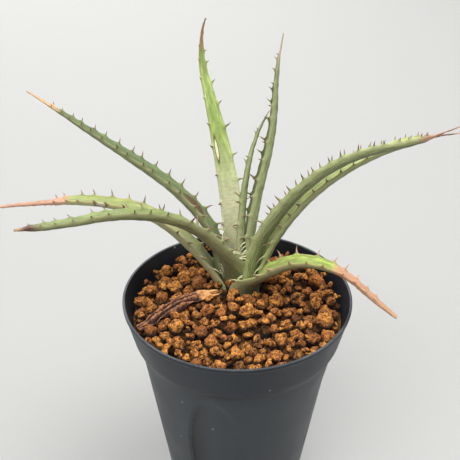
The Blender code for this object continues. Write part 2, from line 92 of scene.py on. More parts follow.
# The fields of a leaf, with lengths in mm and angles in degrees:
# foot: from the crown's centre; heading, roll and curl: of the blade; length; width;
# sheath: width of the sheathing foot as a share of the blade's;
# dried: width of the dried end; taper: share of the width left where the leaf dries;
# green: share of the length that is green; slopes: of the midrib, at SLOPE_STATIONS;
# spacing: distance between spines; upper and back: colours of the two faces;
# pale_foot: how pale the foot is; margin: how strong the coloured line on the edge is;
# dried_tint: colour of the dried end;
# scar: share of the length, place across, half length, half width and paleness, or ();
# bloom: how bright the silvery bloom is.
Leaf = namedtuple(
    "Leaf",
    "name foot heading roll curl length width sheath dried taper green slopes"
    " spacing upper back pale_foot margin dried_tint scar bloom",
    defaults=(1.0,),
)
LEAVES = (
    Leaf("tall_left", (-0.8, 7.8), 116, 0, 46, 130, 13.2, 1.35, 1.3, 0.17, 0.885,
         (76, 78, 72, 63, 56, 130), 11, (0.70, 0.81, 0.40), (0.56, 0.63, 0.40), 1.0, 0.15,
         (0.90, 0.72, 0.55), (0.50, 0.62, 6.5, 1.5, 1.0)),
    Leaf("tall_right", (4.7, 5.2), 22, -20, 62, 123, 10.8, 1.1, 0.9, 0.19, 0.915,
         (90, 90, 81, 76, 89, 79), 9, (0.28, 0.40, 0.13), (0.64, 0.72, 0.52), 0.2, 0.1,
         (0.95, 0.84, 0.70), ()),
    Leaf("inner_narrow", (-0.2, 2.4), 40, -40, 50, 90, 6.8, 1.2, 0.7, 0.25, 0.94,
         (90, 90, 88, 84, 74, 46), 15, (0.58, 0.68, 0.43), (0.64, 0.72, 0.50), 0.4, 0.1,
         (0.55, 0.52, 0.36), ()),
    Leaf("upper_left", (-10.2, 2.9), 168, 5, 60, 136, 10.2, 1.2, 1.7, 0.24, 0.895,
         (90, 86, 50, 33, 31, 30), 6.5, (0.40, 0.50, 0.25), (0.38, 0.45, 0.23), 0.1, 0.15,
         (0.95, 0.76, 0.55), (0.33, -0.1, 6.5, 3.0, 0.0), 0.62),
    Leaf("front_left", (-0.3, -3.3), 206, 12, 52, 128, 13.2, 1.3, 1.9, 0.34, 0.945,
         (83, 66, 50, 25, 2, 9), 8, (0.52, 0.60, 0.28), (0.50, 0.54, 0.30), 0.1, 0.15,
         (0.42, 0.24, 0.18), (), 0.78),
    Leaf("low_left", (-8.8, -2.6), 177, 0, 52, 126, 11.0, 1.1, 3.3, 0.60, 0.74,
         (72, 58, 46, 14, -6, -9), 7.5, (0.64, 0.70, 0.32), (0.64, 0.71, 0.43), 0.3, 0.6,
         (0.86, 0.65, 0.52), (0.60, 0.9, 3.0, 1.4, 0.45), 0.82),
    Leaf("upper_right", (6.0, -2.4), -4, -25, 66, 137, 12.5, 1.15, 1.0, 0.38, 0.875,
         (90, 80, 60, 44, 14, 29), 6.2, (0.62, 0.71, 0.38), (0.47, 0.53, 0.30), 0.05, 0.1,
         (0.80, 0.60, 0.48), ()),
    Leaf("lower_right", (9.8, 0.8), 5, 0, 56, 129, 11.0, 1.1, 1.0, 0.45, 0.87,
         (90, 73, 57, 40, 20, 3), 6.5, (0.76, 0.83, 0.43), (0.48, 0.56, 0.31), 0.1, 0.3,
         (0.50, 0.30, 0.22), ()),
    Leaf("drooping_right", (3.2, -7.4), -18, -5, 50, 88, 13.0, 1.45, 5.6, 0.62, 0.60,
         (80, 47, 36, -1, -39, -33), 7, (0.74, 0.84, 0.32), (0.48, 0.50, 0.27), 0.1, 0.5,
         (0.93, 0.70, 0.54), ()),
)

# the dead leaf on the soil: x, y and height above the soil's top, then its width, in mm
WITHERED_LEAF = (
    (-9, 8, 6.8, 3.4),
    (-19, 3, 7.8, 5.6),
    (-27, -3, 7.8, 6.6),
    (-35, -11, 7.6, 5.8),
    (-39, -16, 7.2, 4.6),
    (-44, -20, 6.4, 3.4),
)
HUSK_BED = 6.4 * MM  # height above the soil that granules keep under the dead leaf


# ------------------------------------------------------------- sizes and colours
def length_setting(name, description, size):
    """A length, with its default given in mm."""
    return FloatProperty(name=name, description=description, default=size * MM, unit="LENGTH")


def share_setting(name, description, share):
    """A share from 0 to 1."""
    return FloatProperty(
        name=name, description=description, default=share, subtype="FACTOR", min=0, max=1)


def colour_setting(name, description, red, green, blue):
    """A colour, with its default given as it looks on a screen."""
    return FloatVectorProperty(
        name=name, description=description, subtype="COLOR", default=tint(red, green, blue))


class DyckiaPotSettings(bpy.types.PropertyGroup):
    """Sizes and finish of the pot"""

    base_radius: length_setting("Base radius", "Radius of the pot's foot", 32)
    wall: length_setting("Wall", "Thickness of the body's wall", 1.8)
    floor: length_setting("Floor", "Thickness of the pot's floor", 2.4)
    collar_height: length_setting("Collar height", "Height of the wider band", 19)
    collar_wall: length_setting("Collar wall", "Wall of the band", 1.2)
    collar_taper: length_setting("Collar taper", "Narrowing down the band", 4.3)
    collar_step: length_setting("Collar step", "Step in under the band", 2.5)
    collar_shoulder: length_setting("Shoulder", "Height of the slope under the band", 3)
    tongue_height: length_setting("Tongue height", "Top of the pressed-in arches", 94)
    tongue_depth: length_setting("Tongue depth", "Step at an arch's deep edge", 1.4)
    slit_width: length_setting("Slit width", "Width of a drainage slit", 3)
    slit_height: length_setting("Slit height", "Height of a drainage slit", 36)
    plastic: colour_setting("Plastic", "Colour of the moulded plastic", 0.110, 0.135, 0.170)
    # Also the colour of the painted highlight on the lip and of the paler lower body.
    dust_and_highlight: colour_setting("Dust", "Colour of dust and scuffs", 0.52, 0.54, 0.55)


class DyckiaSoilSettings(bpy.types.PropertyGroup):
    """Sizes and colours of the granules"""

    granule_size: length_setting("Granule size", "Middle width of a granule", 3.5)
    granule_count: IntProperty(
        name="Granules", description="How many granules are dropped on the soil", default=2800
    )
    lump_size: length_setting("Lump size", "Width of the lumps on a granule", 2.5)
    lump_depth: length_setting("Lump depth", "Depth of the lumps on a granule", 2.2)
    large: length_setting("Large", "Half width from which a granule gets a finer mesh", 2.45)
    seed: IntProperty(name="Seed", description="Seed of the granules' places", default=11)
    ochre: colour_setting("Ochre", "Light colour of the clay", 0.90, 0.61, 0.275)
    brown: colour_setting("Brown", "Dark colour of the clay", 0.53, 0.31, 0.15)
    russet: colour_setting("Russet", "Reddish colour of some granules", 0.66, 0.37, 0.19)
    # The colour of the pores, and of the painted shade low on and between the granules.
    pit_and_shade: colour_setting("Pits", "Colour in the pits and gaps", 0.12, 0.06, 0.025)


class DyckiaLeafSettings(bpy.types.PropertyGroup):
    """Sizes and colours that all leaves share"""

    thickness: length_setting("Thickness", "Thickness at a leaf's midrib", 3.8)
    margin: length_setting("Margin", "Thickness at a leaf's edge", 0.55)
    tooth: length_setting("Tooth", "How far the margin swells under a spine", 1.1)
    silver: colour_setting("Bloom", "Colour of the silvery bloom", 0.75, 0.77, 0.545)
    cream: colour_setting("Cream", "Colour of the pale foot", 0.95, 0.93, 0.80)
    dry_tip: colour_setting("Dry tip", "Colour of the last thread of a dried end", 0.80, 0.66, 0.50)
    blush: colour_setting("Blush", "Colour of the line on the margin", 0.68, 0.45, 0.34)
    scar: colour_setting("Scars", "Colour of flecks and scars", 0.36, 0.25, 0.13)


class DyckiaSpineSettings(bpy.types.PropertyGroup):
    """Sizes and colours of the spines"""

    length: length_setting("Length", "Length of a full spine", 4.0)
    width: length_setting("Width", "Width of a spine at its foot", 1.15)
    hook: share_setting("Hook", "How far a spine bends over, as a share of its length", 0.22)
    heart_hook: share_setting("Heart hook", "How far a young spine near the heart bends over", 0.75)
    heart_spines: IntProperty(
        name="Heart spines", description="Young curling spines on each margin's foot", default=7
    )
    seed: IntProperty(name="Seed", description="Seed of the spines' places", default=5)
    foot: colour_setting("Foot", "Colour at a spine's foot", 0.47, 0.50, 0.25)
    dark: colour_setting("Shaft", "Colour of a spine's shaft", 0.40, 0.22, 0.18)
    tip: colour_setting("Tip", "Colour of a spine's tip", 0.86, 0.70, 0.60)
    pale: colour_setting("Pale", "Colour of young spines near the heart", 0.93, 0.92, 0.74)


class DyckiaHuskSettings(bpy.types.PropertyGroup):
    """Sizes and colours of the dead leaf"""

    thickness: length_setting("Thickness", "Thickness of the dry skin", 0.35)
    # Dark and tan are laid on by the height of the folds: painted shade low in them, painted
    # highlight on the ridges.
    dark: colour_setting("Dark", "Colour in the folds", 0.17, 0.09, 0.075)
    tan: colour_setting("Tan", "Colour of the raised folds", 0.70, 0.47, 0.31)
    amber: colour_setting("Amber", "Colour of the torn end by the plant", 0.95, 0.72, 0.47)


class DyckiaStageSettings(bpy.types.PropertyGroup):
    """Floor, lights and camera"""

    floor_radius: FloatProperty(
        name="Floor radius", description="Radius of the floor", default=6.0, unit="LENGTH"
    )
    floor_tint: colour_setting("Floor", "Colour of the floor", 0.685, 0.685, 0.675)
    surround: FloatProperty(
        name="Surround", description="Strength of the light from all around", default=0.27
    )
    key_power: FloatProperty(
        name="Key light", description="Power of the large light in front", default=11.0,
        unit="POWER",
    )
    overhead: FloatProperty(
        name="Overhead", description="Strength of the even light from above", default=1.15
    )
    floor_power: FloatProperty(
        name="Floor light", description="Power of the light on the floor behind", default=30.0,
        unit="POWER",
    )
    lens: FloatProperty(
        name="Lens", description="Focal length of the camera in mm", default=59.4
    )


# --------------------------------------------------------------------- materials
class Nodes:
    """A node tree under construction: each method adds nodes and returns a socket."""

    def add(self, kind, settings=None, **inputs):
        """A node with its own settings; inputs are named with _ for a space."""
        node = self.tree.nodes.new(kind)
        for key, value in (settings or {}).items():
            setattr(node, key, value)
        for key, value in inputs.items():
            self.feed(node.inputs[key.replace("_", " ")], value)
        return node

    def feed(self, socket, value):
        """Links a socket to the input, or sets a plain value on it."""
        if isinstance(value, bpy.types.NodeSocket):
            self.tree.links.new(value, socket)
        elif socket.type == "RGBA":
            socket.default_value = (*value[:3], 1.0)
        else:
            socket.default_value = value

    def sums(self, operation, first, second=0.0, clamp=False):
        node = self.add("ShaderNodeMath", {"operation": operation, "use_clamp": clamp})
        self.feed(node.inputs[0], first)
        self.feed(node.inputs[1], second)
        return node.outputs[0]


class Paint(Nodes):
    """A material under construction."""

    def __init__(self, name, roughness=0.5, **sockets):
        self.material = bpy.data.materials.new(name)
        self.material.use_nodes = True
        self.tree = self.material.node_tree
        self.shader = self.tree.nodes["Principled BSDF"]
        self.shader.inputs["Roughness"].default_value = roughness
        for socket, value in sockets.items():
            self.shader.inputs[socket.replace("_", " ")].default_value = value

    def attribute(self, name):
        return self.add("ShaderNodeAttribute", {"attribute_name": name}).outputs["Fac"]

    def place(self):
        return self.add("ShaderNodeTexCoord").outputs["Object"]

    def scaled(self, value, factor):
        return self.sums("MULTIPLY", value, factor)

    def vector(self, x=0.0, y=0.0, z=0.0):
        return self.add("ShaderNodeCombineXYZ", X=x, Y=y, Z=z).outputs[0]

    def noise(self, vector, scale, detail=3.0, roughness=0.55, distortion=0.0):
        return self.add(
            "ShaderNodeTexNoise", Vector=vector, Scale=scale, Detail=detail,
            Roughness=roughness, Distortion=distortion,
        ).outputs["Fac"]

    def cells(self, vector, scale, feature="F1"):
        node = self.add("ShaderNodeTexVoronoi", {"feature": feature}, Vector=vector, Scale=scale)
        return node.outputs["Distance"]

    def fade(self, value, low, high, to_low=0.0, to_high=1.0):
        """Turns smoothly from one value to another as the input goes from low to high."""
        return self.add(
            "ShaderNodeMapRange", {"interpolation_type": "SMOOTHSTEP"},
            Value=value, From_Min=low, From_Max=high, To_Min=to_low, To_Max=to_high,
        ).outputs["Result"]

    def mix(self, factor, first, second, blend="MIX"):
        node = self.add("ShaderNodeMix", {"data_type": "RGBA", "blend_type": blend})
        self.feed(node.inputs["Factor"], factor)
        self.feed(node.inputs[6], first)
        self.feed(node.inputs[7], second)
        return node.outputs[2]

    def finish(self, colour, roughness=None, height=None, strength=0.3, distance=0.2 * MM):
        self.feed(self.shader.inputs["Base Color"], colour)
        if roughness is not None:
            self.feed(self.shader.inputs["Roughness"], roughness)
        if height is not None:
            bump = self.add("ShaderNodeBump", Height=height, Strength=strength, Distance=distance)
            self.tree.links.new(bump.outputs["Normal"], self.shader.inputs["Normal"])
        return self.material


def plastic_material(settings):
    """Dark moulded plastic: dusty and scuffed here and there, paler below the collar, rubbed pale
    by wear on the lip with a painted highlight there, and darkened with painted shade around the
    collar's step and in the arches' deep creases.
    """
    paint = Paint("moulded_plastic", roughness=0.4, Specular_IOR_Level=0.38)
    place = paint.place()
    height = paint.add("ShaderNodeSeparateXYZ", Vector=place).outputs["Z"]
    cloud = paint.noise(place, 45, 5, 0.6)
    fine = paint.noise(place, 900, 3)
    specks = paint.fade(paint.cells(place, 120), 0.085, 0.055)
    sparse = paint.fade(paint.noise(place, 60, 2), 0.56, 0.62)
    specks = paint.scaled(paint.scaled(specks, sparse), 0.8)
    # Painted highlight: the top of the lip turns paler in cloudy patches, partly real wear and
    # partly light caught on the lip.
    worn_lip_and_highlight = paint.fade(height, RIM_Z - 0.5 * MM, RIM_Z - 0.1 * MM)
    worn_lip_and_highlight = paint.scaled(worn_lip_and_highlight, paint.fade(cloud, 0.4, 0.65, 0.04, 0.28))
    scuffs = paint.noise(paint.add(
        "ShaderNodeMapping", Vector=place, Scale=(25, 25, 320)).outputs[0], 1, 4, 0.7)
    scuffs = paint.scaled(paint.fade(scuffs, 0.66, 0.78), 0.16)
    # One pale mask for specks, scuffs and the lip's wear with its painted highlight.
    dust_and_highlight = paint.sums("MAXIMUM", paint.sums("MAXIMUM", specks, worn_lip_and_highlight), scuffs)
    body_z = RIM_Z - settings.collar_height
    # Paler below the collar, rising over the body's top 15 mm, and faintly in cloudy patches all
    # over.
    body_paling = paint.fade(height, body_z + 3 * MM, body_z - 12 * MM, 0.0, 0.10)
    body_paling = paint.sums("ADD", body_paling, paint.fade(cloud, 0.3, 0.7, 0, 0.05))
    base = paint.mix(body_paling, settings.plastic, settings.dust_and_highlight)
    # Painted shade: darker around the step under the collar, and near black along each arch's deep
    # edge where the wall is pressed in most.
    step_z = body_z - settings.collar_shoulder / 2
    from_step = paint.sums("ABSOLUTE", paint.sums("SUBTRACT", height, step_z))
    under = paint.fade(from_step, 4 * MM, 1 * MM)
    painted_step_and_crease_shade = paint.sums(
        "MAXIMUM", paint.scaled(under, 0.45),
        paint.fade(paint.attribute("pressed"), 0.55, 0.95, 0.0, 0.8))
    return paint.finish(
        paint.mix(painted_step_and_crease_shade, paint.mix(dust_and_highlight, base, settings.dust_and_highlight), (0.004, 0.005, 0.006)),
        roughness=paint.fade(cloud, 0.3, 0.7, 0.38, 0.52),
        height=fine, strength=0.08, distance=0.05 * MM,
    )


def clay_material(name, settings, loose=True):
    """Porous baked clay: light on the lumps, dark in the pits, with painted shade low on each
    granule, between granules and on the packed soil beneath.
    """
    paint = Paint(name, roughness=0.95)
    place = paint.place()
    lumps = paint.noise(place, 420, 5, 0.65)
    pores = paint.noise(place, 1300, 3, 0.6)
    clay = paint.mix(paint.fade(lumps, 0.40, 0.58), settings.brown, settings.ochre)
    # Painted shade: the packed soil under the granules is darkened three quarters of the way to the
    # shade colour.
    shadow = 0.75
    if loose:
        tone = paint.attribute("granule_tone")
        clay = paint.mix(paint.fade(tone, 0.55, 1.0, 0.0, 0.7), clay, settings.brown)
        clay = paint.mix(paint.fade(tone, 0.25, 0.0, 0.0, 0.6), clay, settings.russet)
        # Painted shade: each granule darker low down on itself, and darker the deeper it sits below
        # its neighbours.
        height = paint.add("ShaderNodeSeparateXYZ", Vector=place).outputs["Z"]
        rise = paint.sums("SUBTRACT", height, paint.attribute("granule_z"))
        rise = paint.sums("DIVIDE", rise, paint.attribute("granule_size"))
        buried = paint.attribute("granule_buried")
        shadow = paint.sums(
            "ADD", paint.fade(rise, 0.62, -0.20, 0.0, 0.96), paint.scaled(buried, 0.75), clamp=True)
    clay = paint.mix(shadow, clay, settings.pit_and_shade)
    clay = paint.mix(paint.fade(pores, 0.49, 0.39, 0.0, 0.85), clay, settings.pit_and_shade)
    relief = paint.sums("ADD", lumps, paint.scaled(pores, 0.6))
    return paint.finish(clay, height=relief, strength=0.9, distance=0.8 * MM)


def leaf_material(leaf, settings):
    """One leaf: green channel above, silvery streaked back, pale foot and dried end, with painted
    shade down the middle of the channel and of the back, and a painted highlight in the bloom
    towards the back's margins.
    """
    paint = Paint("leaf_" + leaf.name, roughness=0.45, Sheen_Weight=0.12)
    along = paint.attribute("along")
    across = paint.attribute("across")
    upper = paint.attribute("upper")
    width = paint.scaled(across, leaf.width)
    length = paint.scaled(along, leaf.length)
    side = paint.scaled(upper, 9.0)
    streaks = paint.noise(
        paint.vector(paint.scaled(width, 1.5), paint.scaled(length, 0.10), side), 1.0, 4, 0.6)
    clouds = paint.noise(
        paint.vector(paint.scaled(width, 0.22), paint.scaled(length, 0.14), side), 1.0, 3)
    grain = paint.noise(
        paint.vector(paint.scaled(width, 4.0), paint.scaled(length, 1.2), side), 1.0, 3, 0.7)

    beside = paint.sums("ABSOLUTE", across)
    silver = tuple(c * leaf.bloom for c in settings.silver)
    bright = tint(*leaf.upper)
    deep = tint(*(c * 0.72 for c in leaf.upper))
    face = paint.mix(paint.fade(clouds, 0.35, 0.65), deep, bright)
    face = paint.mix(paint.fade(streaks, 0.45, 0.72, 0, 0.5), face, silver)
    # Painted shade: the upper face darker towards the middle of its channel.
    face = paint.mix(paint.fade(beside, 0.65, 0.1, 0.0, 0.55), face, deep)
    olive = tint(leaf.back[0] * 0.58, leaf.back[1] * 0.57, leaf.back[2] * 0.40)
    back = paint.mix(paint.fade(clouds, 0.3, 0.7), olive, tint(*leaf.back))
    back = paint.mix(paint.fade(streaks, 0.42, 0.63, 0.0, 0.6), back, silver)
    # Painted shade and highlight across the back: darker olive down its middle, the silvery bloom
    # brighter towards the margins.
    painted_keel_shade = paint.fade(paint.sums("ADD", beside, paint.scaled(streaks, 0.35)), 0.82, 0.36)
    back = paint.mix(paint.scaled(painted_keel_shade, 0.85), back, olive)
    bloom = paint.fade(beside, 0.58, 0.90, 0.0, 0.65)
    back = paint.mix(paint.scaled(bloom, paint.fade(grain, 0.25, 0.55)), back, silver)
    colour = paint.mix(paint.fade(upper, 0.35, 0.65), back, face)

    foot = paint.scaled(paint.fade(along, 0.58, 0.24), leaf.pale_foot)
    rings = paint.noise(
        paint.vector(paint.scaled(width, 0.12), paint.scaled(length, 0.85), 3.0), 1.0, 2)
    banded = paint.fade(rings, 0.40, 0.62, 0.68, 1.0)
    colour = paint.mix(paint.scaled(foot, banded), colour, settings.cream)

    edge = paint.scaled(paint.fade(beside, 0.88, 0.99), paint.fade(along, 0.12, 0.35))
    edge = paint.scaled(paint.scaled(edge, leaf.margin), paint.fade(grain, 0.3, 0.6, 0.4, 1.0))
    colour = paint.mix(edge, colour, settings.blush)
    scurf = paint.noise(
        paint.vector(paint.scaled(width, 2.6), paint.scaled(length, 1.9), side), 1.0, 4, 0.75)
    colour = paint.mix(paint.fade(scurf, 0.52, 0.66, 0.0, 0.75), colour, silver)
    colour = paint.mix(paint.fade(scurf, 0.46, 0.32, 0.0, 0.65), colour, olive)
    flecks = paint.scaled(paint.fade(grain, 0.70, 0.78), 0.45)
    colour = paint.mix(flecks, colour, settings.scar)
    if leaf.scar:
        colour = scarred(paint, colour, leaf, settings, (along, across, grain))

    wavering = paint.sums("ADD", along, paint.scaled(paint.sums("SUBTRACT", streaks, 0.5), 0.10))
    dry = paint.fade(wavering, leaf.green - 0.035, leaf.green + 0.015)
    tan = tint(*leaf.dried_tint)
    brown = tint(*(c * 0.72 for c in leaf.dried_tint))
    husk = paint.mix(paint.fade(streaks, 0.40, 0.62), brown, tan)
    husk = paint.mix(paint.fade(along, 0.965, 0.99, 0.0, 0.7), husk, settings.dry_tip)
    colour = paint.mix(dry, colour, husk)
    return paint.finish(
        colour,
        roughness=paint.fade(streaks, 0.3, 0.7, 0.36, 0.58),
        height=paint.sums("ADD", streaks, paint.scaled(grain, 0.35)),
        strength=0.35, distance=0.35 * MM,
    )


def scarred(paint, colour, leaf, settings, traits):
    """The colour with one healed wound: a pale middle with a thin brown outline."""
    along, across, grain = traits
    share, place, half_length, half_width, pale = leaf.scar
    down = paint.scaled(paint.sums("SUBTRACT", along, share), leaf.length / half_length)
    over = paint.scaled(
        paint.sums("SUBTRACT", across, place), leaf.width / 2 / half_width)
    away = paint.sums("SQRT", paint.sums(
        "ADD", paint.sums("POWER", down, 2.0), paint.sums("POWER", over, 2.0)))
    away = paint.sums("ADD", away, paint.scaled(paint.sums("SUBTRACT", grain, 0.5), 0.9))
    colour = paint.mix(paint.fade(away, 1.3, 0.9, 0.0, 0.92), colour, settings.scar)
    return paint.mix(paint.fade(away, 0.85, 0.6, 0.0, pale), colour, settings.cream)


def spine_material(settings):
    """Green at the foot, brown along the shaft, pale at the point, all pale when young."""
    paint = Paint("spine", roughness=0.4)
    share = paint.attribute("spine_share")
    age = paint.attribute("spine_age")
    blush = paint.attribute("spine_blush")
    shaft = paint.mix(paint.fade(share, 0.12, 0.34), settings.foot, settings.dark)
    shaft = paint.mix(paint.fade(share, 0.52, 0.92), shaft, settings.tip)
    shaft = paint.mix(paint.scaled(blush, 0.75), shaft, settings.tip)
    return paint.finish(paint.mix(age, settings.pale, shaft))


def husk_material(settings):
    """A dry leaf: near black in its folds, partly its own colour and partly painted shade, tan on
    the ridges as a painted highlight, amber at the torn end.
    """
    paint = Paint("dry_husk", roughness=0.62)
    ridge = paint.attribute("ridge")
    along = paint.attribute("along")
    place = paint.place()
    fibres = paint.noise(paint.add(
        "ShaderNodeMapping", Vector=place, Scale=(500, 900, 900)).outputs[0], 1, 4, 0.7)
    russet = tint(0.33, 0.20, 0.145)
    # Painted shade and highlight by the height of the folds: near black low down, russet higher,
    # tan on the ridges.
    colour = paint.mix(paint.fade(ridge, 0.25, 0.70), settings.dark, russet)
    colour = paint.mix(paint.fade(ridge, 0.64, 0.92), colour, settings.tan)
    colour = paint.mix(paint.fade(fibres, 0.55, 0.40, 0, 0.6), colour, settings.dark)
    patchy = paint.scaled(paint.sums("SUBTRACT", paint.noise(place, 260, 2), 0.5), 0.22)
    torn = paint.fade(paint.sums("ADD", along, patchy), 0.20, 0.14)
    colour = paint.mix(torn, colour, settings.amber)
    return paint.finish(colour, height=fibres, strength=0.5, distance=0.3 * MM)


def floor_material(settings):
    paint = Paint("floor_paper", roughness=0.75)
    grain = paint.noise(paint.place(), 25, 3)
    shade = paint.mix(paint.fade(grain, 0.3, 0.7, 0, 0.03), settings.floor_tint, (0.5, 0.5, 0.5))
    return paint.finish(shade)


# -------------------------------------------------------------------- mesh tools
def link(name, mesh):
    made = bpy.data.objects.new(name, mesh)
    bpy.context.scene.collection.objects.link(made)
    return made


def mesh_piece(name, verts, faces, material=None):
    """A mesh object at the origin with its normals facing out."""
    mesh = bpy.data.meshes.new(name)
    mesh.from_pydata([tuple(v) for v in verts], [], faces)
    work = bmesh.new()
    work.from_mesh(mesh)
    bmesh.ops.recalc_face_normals(work, faces=work.faces)
    work.to_mesh(mesh)
    work.free()
    mesh.shade_smooth()
    if material:
        mesh.materials.append(material)
    return link(name, mesh)


def store(mesh, name, values, kind="FLOAT"):
    """Writes one value a point into a named attribute."""
    attribute = mesh.attributes.new(name, kind, "POINT")
    field = "vector" if kind == "FLOAT_VECTOR" else "value"
    attribute.data.foreach_set(field, np.asarray(values, np.float32).ravel())


def applied(made):
    """The object with its modifiers made into a plain mesh."""
    graph = bpy.context.evaluated_depsgraph_get()
    mesh = bpy.data.meshes.new_from_object(
        made.evaluated_get(graph), preserve_all_data_layers=True, depsgraph=graph
    )
    made.modifiers.clear()
    made.data = mesh
    return made


def point_piece(name, places, **attributes):
    """Loose points with attributes, for a node tree to grow something on."""
    mesh = bpy.data.meshes.new(name)
    mesh.from_pydata([tuple(place) for place in places], [], [])
    for key, values in attributes.items():
        vectors = np.ndim(values) == 2
        store(mesh, key, values, "FLOAT_VECTOR" if vectors else "FLOAT")
    return link(name, mesh)


class Growth(Nodes):
    """A geometry node tree under construction, with named inputs."""

    def __init__(self, name, **inputs):
        self.tree = bpy.data.node_groups.new(name, "GeometryNodeTree")
        sockets = self.tree.interface
        sockets.new_socket("Points", in_out="INPUT", socket_type="NodeSocketGeometry")
        sockets.new_socket("Geometry", in_out="OUTPUT", socket_type="NodeSocketGeometry")
        kinds = {float: "NodeSocketFloat", int: "NodeSocketInt"}
        self.values = {}
        for label, value in inputs.items():
            kind = kinds.get(type(value), "NodeSocketMaterial")
            socket = sockets.new_socket(label, in_out="INPUT", socket_type=kind)
            self.values[socket.identifier] = value
        self.entry = self.tree.nodes.new("NodeGroupInput")
        self.exit = self.tree.nodes.new("NodeGroupOutput")

    def input(self, label):
        return self.entry.outputs[label]

    def named(self, name, kind="FLOAT"):
        node = self.add("GeometryNodeInputNamedAttribute", {"data_type": kind}, Name=name)
        return node.outputs["Attribute"]

    def keep(self, geometry, name, value):
        return self.add(
            "GeometryNodeStoreNamedAttribute", {"data_type": "FLOAT", "domain": "POINT"},
            Geometry=geometry, Name=name, Value=value,
        ).outputs[0]

    def lumps(self, size, depth):
        """A noise about zero over the places of the points, of the given size and depth."""
        place = self.add("GeometryNodeInputPosition").outputs[0]
        scale = self.sums("DIVIDE", 1.0, size)
        noise = self.add("ShaderNodeTexNoise", Vector=place, Scale=scale, Detail=1.5)
        level = self.sums("SUBTRACT", noise.outputs[0], 0.51)
        return self.sums("MULTIPLY", self.sums("MULTIPLY", level, depth), 2.0)

    def grow(self, made, geometry, smooth=True):
        """Realises the geometry on the object's points as one plain mesh."""
        real = self.add("GeometryNodeRealizeInstances", Geometry=geometry).outputs[0]
        shaded = self.add("GeometryNodeSetShadeSmooth", Geometry=real, Shade_Smooth=smooth)
        painted = self.add(
            "GeometryNodeSetMaterial", Geometry=shaded.outputs[0], Material=self.input("Material"))
        self.tree.links.new(painted.outputs[0], self.exit.inputs[0])
        modifier = made.modifiers.new("Grow", "NODES")
        modifier.node_group = self.tree
        for identifier, value in self.values.items():
            modifier[identifier] = value
        return applied(made)


# --------------------------------------------------------------------------- pot
TONGUE_COUNT = 4
TONGUE_FIRST_HEADING = 237
TONGUE_SWEEP = 40
TONGUE_PEAK = 0.43
TONGUE_SPRING = 0.45
POT_COLUMNS = 360
SLIT_REACH = 7 * MM


def heading_vector(degrees):
    angle = math.radians(degrees)
    return Vector((math.cos(angle), math.sin(angle), 0.0))


def fillet(before, corner, after, radius, steps=4):
    """Points round a corner of a profile, on a quadratic curve."""
    corner, before, after = (np.array(p) for p in (corner, before, after))
    start = corner + (before - corner) * min(radius / np.linalg.norm(before - corner), 0.45)
    end = corner + (after - corner) * min(radius / np.linalg.norm(after - corner), 0.45)
    shares = np.linspace(0, 1, steps + 1)[:, None]
    curve = (1 - shares) ** 2 * start + 2 * shares * (1 - shares) * corner + shares**2 * end
    return [tuple(point) for point in curve]


def rounded(profile, radii):
    """The profile with each inner corner rounded by its own radius, 0 for none."""
    points = [profile[0]]
    for i in range(1, len(profile) - 1):
        if radii[i]:
            points += fillet(profile[i - 1], profile[i], profile[i + 1], radii[i])
        else:
            points.append(profile[i])
    return points + [profile[-1]]


def split_long(profile, longest):
    """The profile with points added so that no step is longer than the given one."""
    points = [profile[0]]
    for here, there in zip(profile, profile[1:]):
        steps = max(1, math.ceil(math.dist(here, there) / longest))
        for step in range(1, steps + 1):
            points.append(tuple(np.add(here, np.subtract(there, here) * step / steps)))
    return points


def pot_profile(s):
    """Radius and height down the outside, then up the inside, from lip to lip."""
    foot_radius = RIM_RADIUS - s.collar_taper
    collar_z = RIM_Z - s.collar_height
    body_z = collar_z - s.collar_shoulder
    body_radius = foot_radius - s.collar_step
    taper = (body_radius - s.base_radius) / body_z
    middle = RIM_RADIUS - s.collar_wall / 2
    bead = 1.7 * MM
    outer = [
        (middle, RIM_Z), (RIM_RADIUS, RIM_Z), (RIM_RADIUS - 0.1 * MM, RIM_Z - bead),
        (RIM_RADIUS - 0.55 * MM, RIM_Z - bead - 0.5 * MM), (foot_radius, collar_z),
        (body_radius, body_z), (s.base_radius, 0.0), (s.base_radius * 0.82, 0.0),
        (s.base_radius * 0.80, 0.7 * MM), (0.0, 0.7 * MM),
    ]
    radii = [0, 0.5, 0.5, 0.4, 2.0, 3.0, 1.2, 0.3, 0.3, 0]
    inside = [
        (0.0, s.floor), (s.base_radius + taper * s.floor - s.wall, s.floor),
        (body_radius - s.wall, body_z), (foot_radius - s.collar_wall, collar_z),
        (RIM_RADIUS - s.collar_wall, RIM_Z), (middle, RIM_Z),
    ]
    inner_radii = [0, 2.0, 1.0, 1.0, 0.4, 0]
    outer = rounded(outer, [r * MM for r in radii])
    inside = rounded(inside, [r * MM for r in inner_radii])
    return split_long(outer, 2 * MM), split_long(inside, 6 * MM)


def tongue_push(s, heading, z):
    """How far the outer wall is pressed in: deep at an arch's first edge, fading across."""
    turn = (heading - TONGUE_FIRST_HEADING) % (360 / TONGUE_COUNT)
    across = turn / TONGUE_SWEEP
    if across > 1.15 and turn < 360 / TONGUE_COUNT - 2:
        return 0.0
    if across > 1.15:
        across = (turn - 360 / TONGUE_COUNT) / TONGUE_SWEEP
    run = TONGUE_PEAK if across < TONGUE_PEAK else 1 - TONGUE_PEAK
    arch = math.sqrt(max(0.0, 1 - ((across - TONGUE_PEAK) / run) ** 2))
    top = s.tongue_height * (TONGUE_SPRING + (1 - TONGUE_SPRING) * arch)
    below = min(max((top - z) / (1.4 * MM), 0.0), 1.0)
    inside = min(max(across / 0.035 + 0.5, 0.0), 1.0)
    fade = max(0.0, math.sin(math.radians(TONGUE_SWEEP * (1 - across))))
    return s.tongue_depth * below * inside * fade / math.sin(math.radians(TONGUE_SWEEP))


